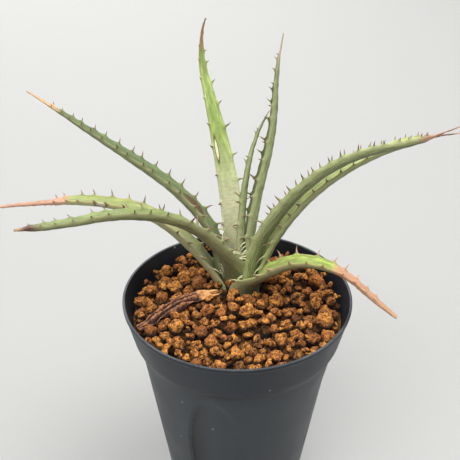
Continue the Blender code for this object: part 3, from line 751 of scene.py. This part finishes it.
def make_pot(s):
    outer, inner = pot_profile(s)
    rings = outer[:-1] + inner[1:-1]
    verts = []
    depths = []
    for index, (radius, z) in enumerate(rings):
        for column in range(POT_COLUMNS):
            heading = 360 * column / POT_COLUMNS
            outside = index < len(outer) - 1 and radius > s.base_radius - 1.5 * MM
            pressed = tongue_push(s, heading, z) if outside and z < s.tongue_height else 0
            verts.append((*(heading_vector(heading) * (radius - pressed)).xy, z))
            depths.append(pressed / s.tongue_depth)
    split = len(outer) - 1
    foot = len(verts)
    verts += [(0, 0, outer[-1][1]), (0, 0, inner[0][1])]
    depths += [0.0, 0.0]
    faces = []
    last = len(rings)
    for row in range(last):
        below = (row + 1) % last
        if below == split:
            continue
        for column in range(POT_COLUMNS):
            beside = (column + 1) % POT_COLUMNS
            faces.append((
                row * POT_COLUMNS + column, row * POT_COLUMNS + beside,
                below * POT_COLUMNS + beside, below * POT_COLUMNS + column,
            ))
    for column in range(POT_COLUMNS):
        beside = (column + 1) % POT_COLUMNS
        under = (split - 1) * POT_COLUMNS
        over = split * POT_COLUMNS
        faces.append((under + column, under + beside, foot))
        faces.append((over + beside, over + column, foot + 1))
    pot = mesh_piece("slit_pot", verts, faces, plastic_material(s))
    # How far the wall is pressed in, which the plastic paints as shade along each arch's deep edge.
    store(pot.data, "pressed", depths)
    for index in range(TONGUE_COUNT):
        cut_slit(pot, s, index)
    return pot


def cut_slit(pot, s, index):
    """One drainage slit, up the wall at an arch's deep edge and in under the pot."""
    heading = TONGUE_FIRST_HEADING + index * 360 / TONGUE_COUNT
    heading += math.degrees(s.slit_width * 0.6 / s.base_radius)
    near = s.base_radius - SLIT_REACH
    far = RIM_RADIUS
    work = bmesh.new()
    bmesh.ops.create_cube(work, size=1)
    size = Matrix.Diagonal((far - near, s.slit_width, s.slit_height + 2 * MM, 1))
    centre = heading_vector(heading) * (near + far) / 2
    centre.z = s.slit_height / 2 - MM
    turn = Matrix.Rotation(math.radians(heading), 4, "Z")
    bmesh.ops.transform(work, matrix=Matrix.Translation(centre) @ turn @ size, verts=work.verts)
    mesh = bpy.data.meshes.new("slit_box")
    work.to_mesh(mesh)
    work.free()
    cutter = link("slit_box", mesh)
    boolean = pot.modifiers.new("Slit", "BOOLEAN")
    boolean.object = cutter
    boolean.solver = "EXACT"
    applied(pot)
    bpy.data.objects.remove(cutter)


# ---------------------------------------------------------------------- granules
def husk_line():
    """Points close together along the dead leaf, as seen from above."""
    path = np.array(WITHERED_LEAF)
    shares = np.linspace(0, 1, 30)
    knots = np.linspace(0, 1, len(path))
    return np.stack([np.interp(shares, knots, path[:, k]) for k in (0, 1)], axis=1) * MM


def fixed_granules():
    """Centre and half width of each granule that the frame holds."""
    found = []
    for name in GRANULE_NODES:
        low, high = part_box(name)
        found.append((*((low + high) / 2), (high - low).length / math.sqrt(12)))
    return found


GRANULE_TRIES = 36  # random places that each granule may fall to
SIZE_SPREAD = 0.46  # spread of the logarithm of a granule's width
SMALLEST = 0.7 * MM  # half width
LARGEST = 3.8 * MM  # half width
DEEPEST = 5 * MM  # a granule buried deeper than this never shows and is left out


def settled_granules(s):
    """Drops granules one by one, each to the lowest of some random places.

    The first ones are the frame's own. The rest keep off the crown and inside the wall.
    """
    draw = np.random.default_rng(s.seed)
    laid = fixed_granules()
    sizes = s.granule_size / 2 * np.exp(draw.normal(0, SIZE_SPREAD, s.granule_count))
    sizes = np.sort(np.clip(sizes, SMALLEST, LARGEST))[::-1]
    order = np.argsort(draw.random(len(sizes)) + np.linspace(0, 0.5, len(sizes)))
    feet = np.array([
        (*(CROWN_CENTRE + Vector(leaf.foot) * MM), leaf.width * MM / 2) for leaf in LEAVES])
    husk = husk_line()
    for radius in sizes[order]:
        reach = np.sqrt(draw.random(GRANULE_TRIES)) * (SOIL_RADIUS - radius * 0.9)
        angle = draw.random(GRANULE_TRIES) * math.tau
        x, y = reach * np.cos(angle), reach * np.sin(angle)
        from_crown = np.hypot(x - CROWN_CENTRE.x, y - CROWN_CENTRE.y)
        from_foot = np.hypot(x[:, None] - feet[:, 0], y[:, None] - feet[:, 1]) - feet[:, 2] * 0.55
        clear = (from_foot.min(axis=1) > radius * 0.35) & (from_crown > CROWN_RADIUS * 0.6)
        if not clear.any():
            continue
        x, y, from_crown = x[clear], y[clear], from_crown[clear]
        there = np.array(laid)
        apart = np.hypot(x[:, None] - there[:, 0], y[:, None] - there[:, 1])
        touch = there[:, 3] + radius
        lift = np.sqrt(np.maximum(touch**2 - apart**2, 0))
        tops = np.where(apart < touch, there[:, 2] + lift * 0.86, 0)
        ground = np.where(from_crown < CROWN_RADIUS, CROWN_Z, SOIL_Z) + radius * 0.3
        z = np.maximum(tops.max(axis=1), ground)
        under = np.hypot(x[:, None] - husk[:, 0], y[:, None] - husk[:, 1]).min(axis=1)
        blocked = (under < radius + 2.5 * MM) & (z + radius > SOIL_Z + HUSK_BED)
        best = int(np.argmin(z + draw.random(len(z)) * 0.8 * MM + blocked * 20 * MM))
        if blocked[best]:
            continue
        laid.append((x[best], y[best], z[best], radius))
    return np.array(laid)


def buried_depths(laid):
    """How far the top of each granule lies below the highest one close beside it."""
    apart = np.hypot(*(laid[:, None, k] - laid[None, :, k] for k in (0, 1)))
    tops = laid[:, 2] + laid[:, 3]
    return np.where(apart < 2.6 * MM, tops[None, :], 0).max(axis=1) - tops


def make_granules(s):
    """Baked-clay granules, each a lumpy ball grown on a settled point."""
    laid = settled_granules(s)
    laid = laid[laid[:, 2] + laid[:, 3] < RIM_Z - 1.5 * MM]
    over = buried_depths(laid)
    laid, over = (values[over < DEEPEST] for values in (laid, over))
    draw = np.random.default_rng(s.seed + 1)
    count = len(laid)
    made = point_piece(
        "clay_granules", laid[:, :3],
        granule_size=laid[:, 3],
        granule_turn=draw.random((count, 3)) * math.tau,
        granule_shape=draw.uniform(0.64, 1.22, (count, 3)),
        granule_tone=draw.random(count),
        granule_z=laid[:, 2],
        granule_buried=np.clip(over / (3.5 * MM), 0, 1),
    )
    growth = Growth(
        "Clay granules", Lump_size=s.lump_size, Lump_depth=s.lump_depth, Large=s.large,
        Material=clay_material("baked_clay", s),
    )
    shape = growth.add("ShaderNodeVectorMath", {"operation": "SCALE"})
    growth.feed(shape.inputs[0], growth.named("granule_shape", "FLOAT_VECTOR"))
    growth.feed(shape.inputs["Scale"], growth.named("granule_size"))
    turn = growth.add(
        "FunctionNodeEulerToRotation", Euler=growth.named("granule_turn", "FLOAT_VECTOR"))
    both = growth.add("GeometryNodeJoinGeometry")
    large = growth.add("FunctionNodeCompare", {"operation": "GREATER_THAN"})
    growth.feed(large.inputs[0], growth.named("granule_size"))
    growth.feed(large.inputs[1], growth.input("Large"))
    small = growth.add("FunctionNodeBooleanMath", {"operation": "NOT"})
    growth.feed(small.inputs[0], large.outputs[0])
    for chosen, fineness in ((small, 2), (large, 3)):
        ball = growth.add("GeometryNodeMeshIcoSphere", Radius=1.0, Subdivisions=fineness)
        balls = growth.add(
            "GeometryNodeInstanceOnPoints", Points=growth.input("Points"),
            Selection=chosen.outputs[0], Instance=ball.outputs["Mesh"],
            Rotation=turn.outputs[0], Scale=shape.outputs[0],
        )
        growth.tree.links.new(balls.outputs[0], both.inputs[0])
    real = growth.add("GeometryNodeRealizeInstances", Geometry=both.outputs[0]).outputs[0]
    size = growth.input("Lump_size")
    depth = growth.input("Lump_depth")
    coarse = growth.lumps(size, depth)
    fine = growth.lumps(growth.sums("MULTIPLY", size, 0.42), growth.sums("MULTIPLY", depth, 0.4))
    outward = growth.add("ShaderNodeVectorMath", {"operation": "SCALE"})
    growth.feed(outward.inputs[0], growth.add("GeometryNodeInputNormal").outputs[0])
    growth.feed(outward.inputs["Scale"], growth.sums("ADD", coarse, fine))
    rough = growth.add("GeometryNodeSetPosition", Geometry=real, Offset=outward.outputs[0])
    return growth.grow(made, rough.outputs[0], smooth=False)


# ------------------------------------------------------------------------ leaves
def midrib(leaf, steps=160):
    """Points along a leaf, found by walking up it in short steps."""
    shares = np.linspace(0.0, 1.0, steps + 1)
    middle = (shares[1:] + shares[:-1]) / 2
    slope = np.radians(np.interp(middle, SLOPE_STATIONS, leaf.slopes))
    walk = np.outer(np.cos(slope), heading_vector(leaf.heading))
    walk[:, 2] = np.sin(slope)
    foot = np.array((*CROWN_CENTRE, CROWN_Z)) + np.array((*leaf.foot, 0.3)) * MM
    return shares, np.vstack([foot, foot + np.cumsum(walk, axis=0) * leaf.length * MM / steps])


class Blade:
    """Where a leaf runs: the frame, width and margins at any share of its length."""

    def __init__(self, leaf, settings):
        self.leaf = leaf
        self.settings = settings
        self.shares, self.points = midrib(leaf)
        angle = math.degrees(math.atan2(leaf.foot[1], leaf.foot[0]))
        self.foot_heading = leaf.heading + (angle - leaf.heading + 180) % 360 - 180
        draw = random.Random(leaf.name)
        self.teeth = {side: self.spine_shares(draw) for side in (1, -1)}

    def spine_shares(self, draw):
        """Shares of the length where one margin's spines stand, closer near the tip."""
        leaf = self.leaf
        first, last = 0.09, leaf.green + 0.02 + 0.1 * max(0.0, leaf.dried - 3)
        count = max(3, round(leaf.length * (last - first) / leaf.spacing))
        steps = (np.arange(count) + draw.uniform(0.0, 0.6)) / count
        jitter = np.array([draw.uniform(-0.2, 0.2) / count for _ in range(count)])
        steps = np.clip(steps + jitter, 0, 1)
        return first + (last - first) * (1 - (1 - steps) ** 1.25)

    def frame(self, share):
        """Centre, direction, side and upper-face direction."""
        leaf = self.leaf
        centre = Vector([np.interp(share, self.shares, self.points[:, k]) for k in range(3)])
        slope = math.radians(np.interp(share, SLOPE_STATIONS, leaf.slopes))
        along = heading_vector(leaf.heading) * math.cos(slope) + Vector((0, 0, math.sin(slope)))
        stations = (0.0, FOOT_SHARE, TURN_SHARE)
        facing = np.interp(share, stations, (self.foot_heading, self.foot_heading, leaf.heading))
        side = Vector((0, 0, 1)).cross(heading_vector(facing))
        side = (side - along * side.dot(along)).normalized()
        turn = math.radians(np.interp(share, stations, (0.0, 0.0, leaf.roll)))
        side = Matrix.Rotation(turn, 3, along) @ side
        return centre, along, side, along.cross(side)

    def width(self, share):
        leaf = self.leaf
        w, dried = leaf.width, leaf.dried
        shoulder, end = 0.20, leaf.green - 0.02
        middle = (shoulder + end) / 2
        stations = (0.0, 0.10, shoulder, middle, end, leaf.green + 0.03, 1.0)
        widths = (
            leaf.sheath * w, (0.6 * leaf.sheath + 0.42) * w, w, (0.65 + 0.35 * leaf.taper) * w,
            leaf.taper * w, dried, 0.4 * dried,
        )
        spread = np.linspace(-0.025, 0.025, 5)
        return float(np.mean(np.interp(share + spread, stations, widths))) * MM

    def half_curl(self, share):
        curl = self.leaf.curl
        return math.radians(np.interp(share, (0.0, 0.2, 1.0), (FOOT_CURL, curl, curl)))

    def thickness(self, share):
        stations = (0.0, 0.3, self.leaf.green)
        thick = self.settings.thickness * np.interp(share, stations, (0.6, 1.0, 0.6))
        return min(thick, self.width(share) * 0.6)

    def tooth(self, share, side):
        """How far the margin swells outwards under its spines."""
        reach = (share - self.teeth[side]) * self.leaf.length * MM / (1.1 * MM)
        size = self.settings.tooth * (1.15 - 0.75 * share)
        return size * float(np.exp(-reach**2).max())

    def surface(self, share, across, face):
        """A point of the blade: across from -1 to 1, face 1 above, 0 at the middle, -1 below."""
        centre, _, side, up = self.frame(share)
        half = self.half_curl(share)
        radius = self.width(share) / (2 * half)
        thick = self.thickness(share)
        edge = min(self.settings.margin, thick * 0.6)
        angle = half * across
        body = edge + (thick - edge) * (1 - across * across)
        outward = up * math.cos(angle) - side * math.sin(angle)
        arc = side * radius * math.sin(angle) + up * radius * (1 - math.cos(angle))
        depth = 0.35 * body if face > 0 else 0.65 * body
        return centre + arc + outward * depth * face

    def margin(self, share, side_sign):
        """The margin's middle point and the direction that a spine takes from it."""
        _, along, side, up = self.frame(share)
        half = self.half_curl(share)
        out = side * side_sign * math.cos(half) + up * math.sin(half)
        return self.surface(share, side_sign, -0.2), out.normalized(), along


OUTER_LEAVES = ("low_left", "lower_right", "drooping_right")
UPPER_STEPS = np.linspace(-1, 1, 13)
BACK_STEPS = np.linspace(0.94, -0.94, 13)
LEAF_STATIONS = 200


def make_leaf(leaf, settings):
    """A fine loft along the blade, swollen into a tooth under each spine."""
    blade = Blade(leaf, settings)
    draw = random.Random(leaf.name + "wrinkle")
    phases = [draw.uniform(0, math.tau) for _ in range(6)]
    verts, alongs, acrosses, uppers = [], [], [], []
    shares = np.concatenate([[0.0], np.linspace(0.006, 1.0, LEAF_STATIONS)])
    for share in shares:
        dry = min(max((share - leaf.green) / 0.05, 0.0), 1.0)
        centre, along, side, up = blade.frame(share)
        swell = {sign: blade.tooth(share, sign) for sign in (1, -1)}
        ring = [(across, 1.0) for across in UPPER_STEPS]
        ring += [(1.0, -0.5)]
        ring += [(across, -1.0) for across in BACK_STEPS]
        ring += [(-1.0, -0.5)]
        for across, face in ring:
            point = blade.surface(share, across, face)
            point.z -= FOOT_SINK * max(0.0, 1 - share / 0.03)
            sign = 1 if across > 0 else -1
            near = min(max((abs(across) - 0.72) / 0.28, 0.0), 1.0) ** 1.5
            half = blade.half_curl(share)
            out = side * sign * math.cos(half) + up * math.sin(half)
            point = point + out * swell[sign] * near
            wave = math.sin(share * 61 + phases[0]) + math.sin(share * 143 + across * 5 + phases[1])
            point = point + up * wave * 0.05 * MM
            if dry:
                crumple = math.sin(share * 310 + across * 7 + phases[2])
                crumple += math.sin(share * 171 - across * 11 + phases[3])
                point = point + (point - centre) * crumple * dry * min(0.16, 0.32 / leaf.dried)
            verts.append(point)
            alongs.append(share)
            acrosses.append(across)
            uppers.append(1.0 if face > 0 else 0.0 if face < -0.5 else 0.5)
    around = len(ring)
    rows = len(shares)
    faces = [tuple(range(around)), tuple(reversed(range((rows - 1) * around, rows * around)))]
    for row in range(rows - 1):
        for k in range(around):
            here = row * around + k
            beside = row * around + (k + 1) % around
            faces.append((here, here + around, beside + around, beside))
    made = mesh_piece("blade_" + leaf.name, verts, faces, leaf_material(leaf, settings))
    store(made.data, "along", alongs)
    store(made.data, "across", acrosses)
    store(made.data, "upper", uppers)
    return made


def spine_points(settings, leaf_settings):
    """Place, turn, length, age and blush of every spine on the plant."""
    draw = random.Random(settings.seed)
    rows = []
    for leaf in LEAVES:
        blade = Blade(leaf, leaf_settings)
        for sign in (1, -1):
            young = [draw.uniform(0.06, 0.21) for _ in range(settings.heart_spines)]
            if leaf.name in OUTER_LEAVES:
                young = []
            for share in [*blade.teeth[sign], *young]:
                place, out, along = blade.margin(share, sign)
                lean = np.interp(share, (0, 0.35, 1), (-0.45, -0.05, 0.55))
                lean += draw.uniform(-0.15, 0.15)
                direction = (out + along * lean).normalized()
                hook = along if share > 0.3 else -along
                hook = (hook - direction * hook.dot(direction)).normalized()
                across = direction.cross(hook)
                turn = Matrix((hook, across, direction)).transposed().to_euler()
                size = np.interp(share, (0.05, 0.3, 0.6, 0.9), (0.85, 1.0, 0.85, 0.45))
                size *= draw.uniform(0.85, 1.15)
                base = place + out * blade.tooth(share, sign) * 0.72
                age = 0.0 if share in young else min(max((share - 0.10) / 0.12, 0.0), 1.0)
                blush = 1.0 if leaf.name == "drooping_right" else draw.uniform(0, 0.35)
                rows.append((base, turn, size, age, blush))
    return rows


def make_spines(name, rows, settings, length, width, hook):
    """Hooked spines of one kind, grown on points along the margins."""
    made = point_piece(
        name, [row[0] for row in rows],
        spine_turn=np.array([tuple(row[1]) for row in rows]),
        spine_size=np.array([row[2] for row in rows]),
        spine_age=np.array([row[3] for row in rows]),
        spine_blush=np.array([row[4] for row in rows]),
    )
    growth = Growth(
        "Hooked spines", Length=length, Width=width, Hook=hook, Material=spine_material(settings),
    )
    length = growth.input("Length")
    reach = growth.add("ShaderNodeCombineXYZ", Z=growth.sums("MULTIPLY", length, 0.55))
    over = growth.sums("MULTIPLY", length, growth.input("Hook"))
    point = growth.add("ShaderNodeCombineXYZ", X=over, Z=length)
    line = growth.add(
        "GeometryNodeCurveQuadraticBezier", Resolution=6, Middle=reach.outputs[0],
        End=point.outputs[0],
    ).outputs[0]
    growth.feed(line.node.inputs["Start"], (0.0, 0.0, 0.0))
    share = growth.add("GeometryNodeSplineParameter").outputs["Factor"]
    line = growth.keep(line, "spine_share", share)
    narrowing = growth.sums("POWER", growth.sums("SUBTRACT", 1.02, share), 1.35)
    radius = growth.sums("MULTIPLY", growth.sums("MULTIPLY", growth.input("Width"), 0.5), narrowing)
    outline = growth.add("GeometryNodeCurvePrimitiveCircle", Resolution=6, Radius=1.0).outputs[0]
    solid = growth.add(
        "GeometryNodeCurveToMesh", Curve=line, Profile_Curve=outline, Scale=radius,
        Fill_Caps=True,
    )
    turn = growth.add(
        "FunctionNodeEulerToRotation", Euler=growth.named("spine_turn", "FLOAT_VECTOR"))
    spines = growth.add(
        "GeometryNodeInstanceOnPoints", Points=growth.input("Points"),
        Instance=solid.outputs[0], Rotation=turn.outputs[0], Scale=growth.named("spine_size"),
    )
    return growth.grow(made, spines.outputs[0])


# --------------------------------------------------------------------- dead leaf
HUSK_ROWS = 110
HUSK_COLUMNS = 33
HUSK_FOLDS = 1.35  # sharp folds on each half of the dead leaf
HUSK_FRAY = 0.13  # share of its length by which its ends are split into points


def crease(turns):
    """A zigzag between -1 and 1, a little blunt at its points."""
    zigzag = 4 * abs(turns - math.floor(turns + 0.5)) - 1
    return math.sin(zigzag * math.pi / 2) * 0.35 + zigzag * 0.65


def make_husk(s):
    """A folded, torn ribbon with sharp lengthwise creases and split ends."""
    path = np.array(WITHERED_LEAF, float)
    knots = np.linspace(0, 1, len(path))
    verts, ridges, alongs = [], [], []
    for row in np.linspace(0, 1, HUSK_ROWS):
        for across in np.linspace(-1, 1, HUSK_COLUMNS):
            split = crease(across * 1.6 + 0.2) * HUSK_FRAY
            share = row + split * (max(0.0, row - 0.7) / 0.3 - max(0.0, 0.2 - row) / 0.3)
            spread = np.clip(share + np.linspace(-0.06, 0.06, 7), 0, 1)
            x, y, rise, width = (np.interp(spread, knots, path[:, k]).mean() * MM for k in range(4))
            ends = [np.clip(share + step, 0, 1) for step in (-0.08, 0.08)]
            flat = Vector([np.diff(np.interp(ends, knots, path[:, k]))[0] for k in (0, 1)] + [0.0])
            flat.normalize()
            side = Vector((0, 0, 1)).cross(flat)
            drift = noise.noise(Vector((share * 4.5, across * 0.8, 2.3)))
            fold = crease(across * HUSK_FOLDS + 0.55 * drift + 0.30 * share)
            crumple = noise.noise(Vector((share * 11, across * 3.1, 7.9)))
            fine = noise.noise(Vector((share * 46, across * 6.5, 1.1)))
            deep = 0.13 + 0.15 * min(1.0, share * 3)
            lift = width * (deep * fold + 0.11 * crumple + 0.08 * fine)
            lift += width * 0.14 * (1 - across * across)
            tear = 1 + 0.34 * noise.noise(Vector((share * 9, across * 0.6 + 5, 4.0)))
            place = Vector((x, y, SOIL_Z + rise + lift)) + side * across * width * 0.60 * tear
            verts.append(place)
            ridges.append(0.5 + 0.42 * fold + 0.40 * crumple + 0.35 * fine)
            alongs.append(share)
    faces = []
    for row in range(HUSK_ROWS - 1):
        for column in range(HUSK_COLUMNS - 1):
            here = row * HUSK_COLUMNS + column
            faces.append((here, here + 1, here + HUSK_COLUMNS + 1, here + HUSK_COLUMNS))
    made = mesh_piece("withered_husk", verts, faces, husk_material(s))
    store(made.data, "ridge", ridges)
    store(made.data, "along", alongs)
    wall = made.modifiers.new("Wall", "SOLIDIFY")
    wall.thickness = s.thickness
    wall.offset = 0
    return applied(made)


# ------------------------------------------------------------------------- stage
CAMERA_PLACE = Vector((0.0, -282.2, 327.1)) * MM
CAMERA_LOOK = Vector((-0.0101, 0.8525, -0.5226))


def make_stage(s):
    """A pale floor, soft lights in front, above and on the floor behind, and the camera."""
    scene = bpy.context.scene
    scene.view_settings.view_transform = "Standard"
    work = bmesh.new()
    bmesh.ops.create_circle(work, cap_ends=True, segments=96, radius=s.floor_radius)
    mesh = bpy.data.meshes.new("floor")
    work.to_mesh(mesh)
    work.free()
    floor = link("floor", mesh)
    mesh.materials.append(floor_material(s))

    world = scene.world or bpy.data.worlds.new("surround")
    scene.world = world
    world.use_nodes = True
    back = world.node_tree.nodes["Background"]
    back.inputs["Color"].default_value = (0.97, 0.98, 1.0, 1.0)
    back.inputs["Strength"].default_value = s.surround

    target = Vector((0, 0, RIM_Z))
    behind = Vector((-0.25, 1.3, 0))
    lights = (
        ("key_light", (-0.45, -0.75, 1.25), 0.9, s.key_power, target),
        ("top_light", (0.45, 0.0, 1.3), 0.7, s.key_power * 0.75, target),
        ("floor_light", (-0.45, 1.5, 1.3), 1.4, s.floor_power, behind),
    )
    for name, place, size, power, aim in lights:
        light = bpy.data.lights.new(name, "AREA")
        light.size = size
        light.energy = power
        made = bpy.data.objects.new(name, light)
        scene.collection.objects.link(made)
        made.location = place
        made.rotation_euler = (aim - Vector(place)).to_track_quat("-Z", "Y").to_euler()

    sky = bpy.data.lights.new("overhead_light", "SUN")
    sky.energy = s.overhead
    sky.angle = math.radians(60)
    above = bpy.data.objects.new("overhead_light", sky)
    scene.collection.objects.link(above)
    above.rotation_euler = Vector((-0.1, 0.2, -1)).to_track_quat("-Z", "Y").to_euler()

    lens = bpy.data.cameras.new("camera")
    lens.lens = s.lens
    lens.sensor_width = 36
    camera = bpy.data.objects.new("camera", lens)
    scene.collection.objects.link(camera)
    camera.location = CAMERA_PLACE
    camera.rotation_euler = CAMERA_LOOK.to_track_quat("-Z", "Y").to_euler()
    scene.camera = camera


# --------------------------------------------------------------------- operators
def settled_on_root(made, slot, *nodes):
    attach(made, "root")
    if nodes:
        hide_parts(*nodes)


class DYCKIA_OT_pot(bpy.types.Operator):
    """Build the slit pot"""

    bl_idname = "dyckia.pot"
    bl_label = "Pot"

    def execute(self, context):
        settled_on_root(make_pot(context.scene.dyckia_pot), "pot_plastic", "pot")
        return {"FINISHED"}


class DYCKIA_OT_soil(bpy.types.Operator):
    """Paint the soil and heap the clay granules on it"""

    bl_idname = "dyckia.soil"
    bl_label = "Soil and granules"

    def execute(self, context):
        settings = context.scene.dyckia_soil
        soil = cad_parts["soil"].data
        soil.materials.clear()
        soil.materials.append(clay_material("packed_clay", settings, loose=False))
        settled_on_root(make_granules(settings), "granule_clay", *GRANULE_NODES)
        return {"FINISHED"}


class DYCKIA_OT_crown(bpy.types.Operator):
    """Paint the crown that the leaves stand on"""

    bl_idname = "dyckia.crown"
    bl_label = "Crown"

    def execute(self, context):
        paint = Paint("crown_fibre", roughness=0.85)
        place = paint.place()
        fibres = paint.noise(paint.add(
            "ShaderNodeMapping", Vector=place, Scale=(900, 900, 90)).outputs[0], 1, 4)
        colour = paint.mix(fibres, tint(0.36, 0.30, 0.17), tint(0.66, 0.60, 0.38))
        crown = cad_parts["crown_and_root"].data
        crown.materials.clear()
        crown.materials.append(paint.finish(colour, height=fibres, strength=0.5))
        return {"FINISHED"}


class DYCKIA_OT_leaves(bpy.types.Operator):
    """Grow the nine leaves"""

    bl_idname = "dyckia.leaves"
    bl_label = "Leaves"

    def execute(self, context):
        for leaf in LEAVES:
            made = make_leaf(leaf, context.scene.dyckia_leaf)
            settled_on_root(made, "leaf_blade", "leaf_" + leaf.name)
        return {"FINISHED"}


class DYCKIA_OT_spines(bpy.types.Operator):
    """Set the hooked spines on the leaves' margins"""

    bl_idname = "dyckia.spines"
    bl_label = "Spines"

    def execute(self, context):
        s = context.scene.dyckia_spine
        rows = spine_points(s, context.scene.dyckia_leaf)
        young = [row for row in rows if row[3] < 0.5]
        old = [row for row in rows if row[3] >= 0.5]
        kinds = (
            ("marginal_spines", old, s.length, s.width, s.hook),
            ("heart_spines", young, s.length * 1.3, s.width * 0.62, s.heart_hook),
        )
        for name, chosen, length, width, hook in kinds:
            settled_on_root(make_spines(name, chosen, s, length, width, hook), "leaf_blade")
        return {"FINISHED"}


class DYCKIA_OT_husk(bpy.types.Operator):
    """Lay the dead leaf on the granules"""

    bl_idname = "dyckia.husk"
    bl_label = "Dead leaf"

    def execute(self, context):
        settled_on_root(make_husk(context.scene.dyckia_husk), "withered_husk", "withered_leaf")
        return {"FINISHED"}


class DYCKIA_OT_stage(bpy.types.Operator):
    """Set up the floor, the lights and the camera"""

    bl_idname = "dyckia.stage"
    bl_label = "Stage"

    def execute(self, context):
        make_stage(context.scene.dyckia_stage)
        return {"FINISHED"}


OPERATORS = (
    DYCKIA_OT_pot, DYCKIA_OT_soil, DYCKIA_OT_crown, DYCKIA_OT_leaves, DYCKIA_OT_spines,
    DYCKIA_OT_husk, DYCKIA_OT_stage,
)


class DYCKIA_PT_build(bpy.types.Panel):
    """Lists the steps that build the plant"""

    bl_idname = "DYCKIA_PT_build"
    bl_label = "Potted dyckia"
    bl_space_type = "VIEW_3D"
    bl_region_type = "UI"
    bl_category = "Dyckia"

    def draw(self, context):
        for operator in OPERATORS:
            self.layout.operator(operator.bl_idname)


SETTINGS = {
    "dyckia_pot": DyckiaPotSettings,
    "dyckia_soil": DyckiaSoilSettings,
    "dyckia_leaf": DyckiaLeafSettings,
    "dyckia_spine": DyckiaSpineSettings,
    "dyckia_husk": DyckiaHuskSettings,
    "dyckia_stage": DyckiaStageSettings,
}


def register():
    for name, group in SETTINGS.items():
        bpy.utils.register_class(group)
        setattr(bpy.types.Scene, name, PointerProperty(type=group))
    for operator in OPERATORS:
        bpy.utils.register_class(operator)
    bpy.utils.register_class(DYCKIA_PT_build)


def unregister():
    bpy.utils.unregister_class(DYCKIA_PT_build)
    for operator in reversed(OPERATORS):
        bpy.utils.unregister_class(operator)
    for name, group in reversed(SETTINGS.items()):
        delattr(bpy.types.Scene, name)
        bpy.utils.unregister_class(group)


def main():
    register()
    for operator in OPERATORS:
        group, name = operator.bl_idname.split(".")
        getattr(getattr(bpy.ops, group), name)()


if __name__ == "__main__":
    main()
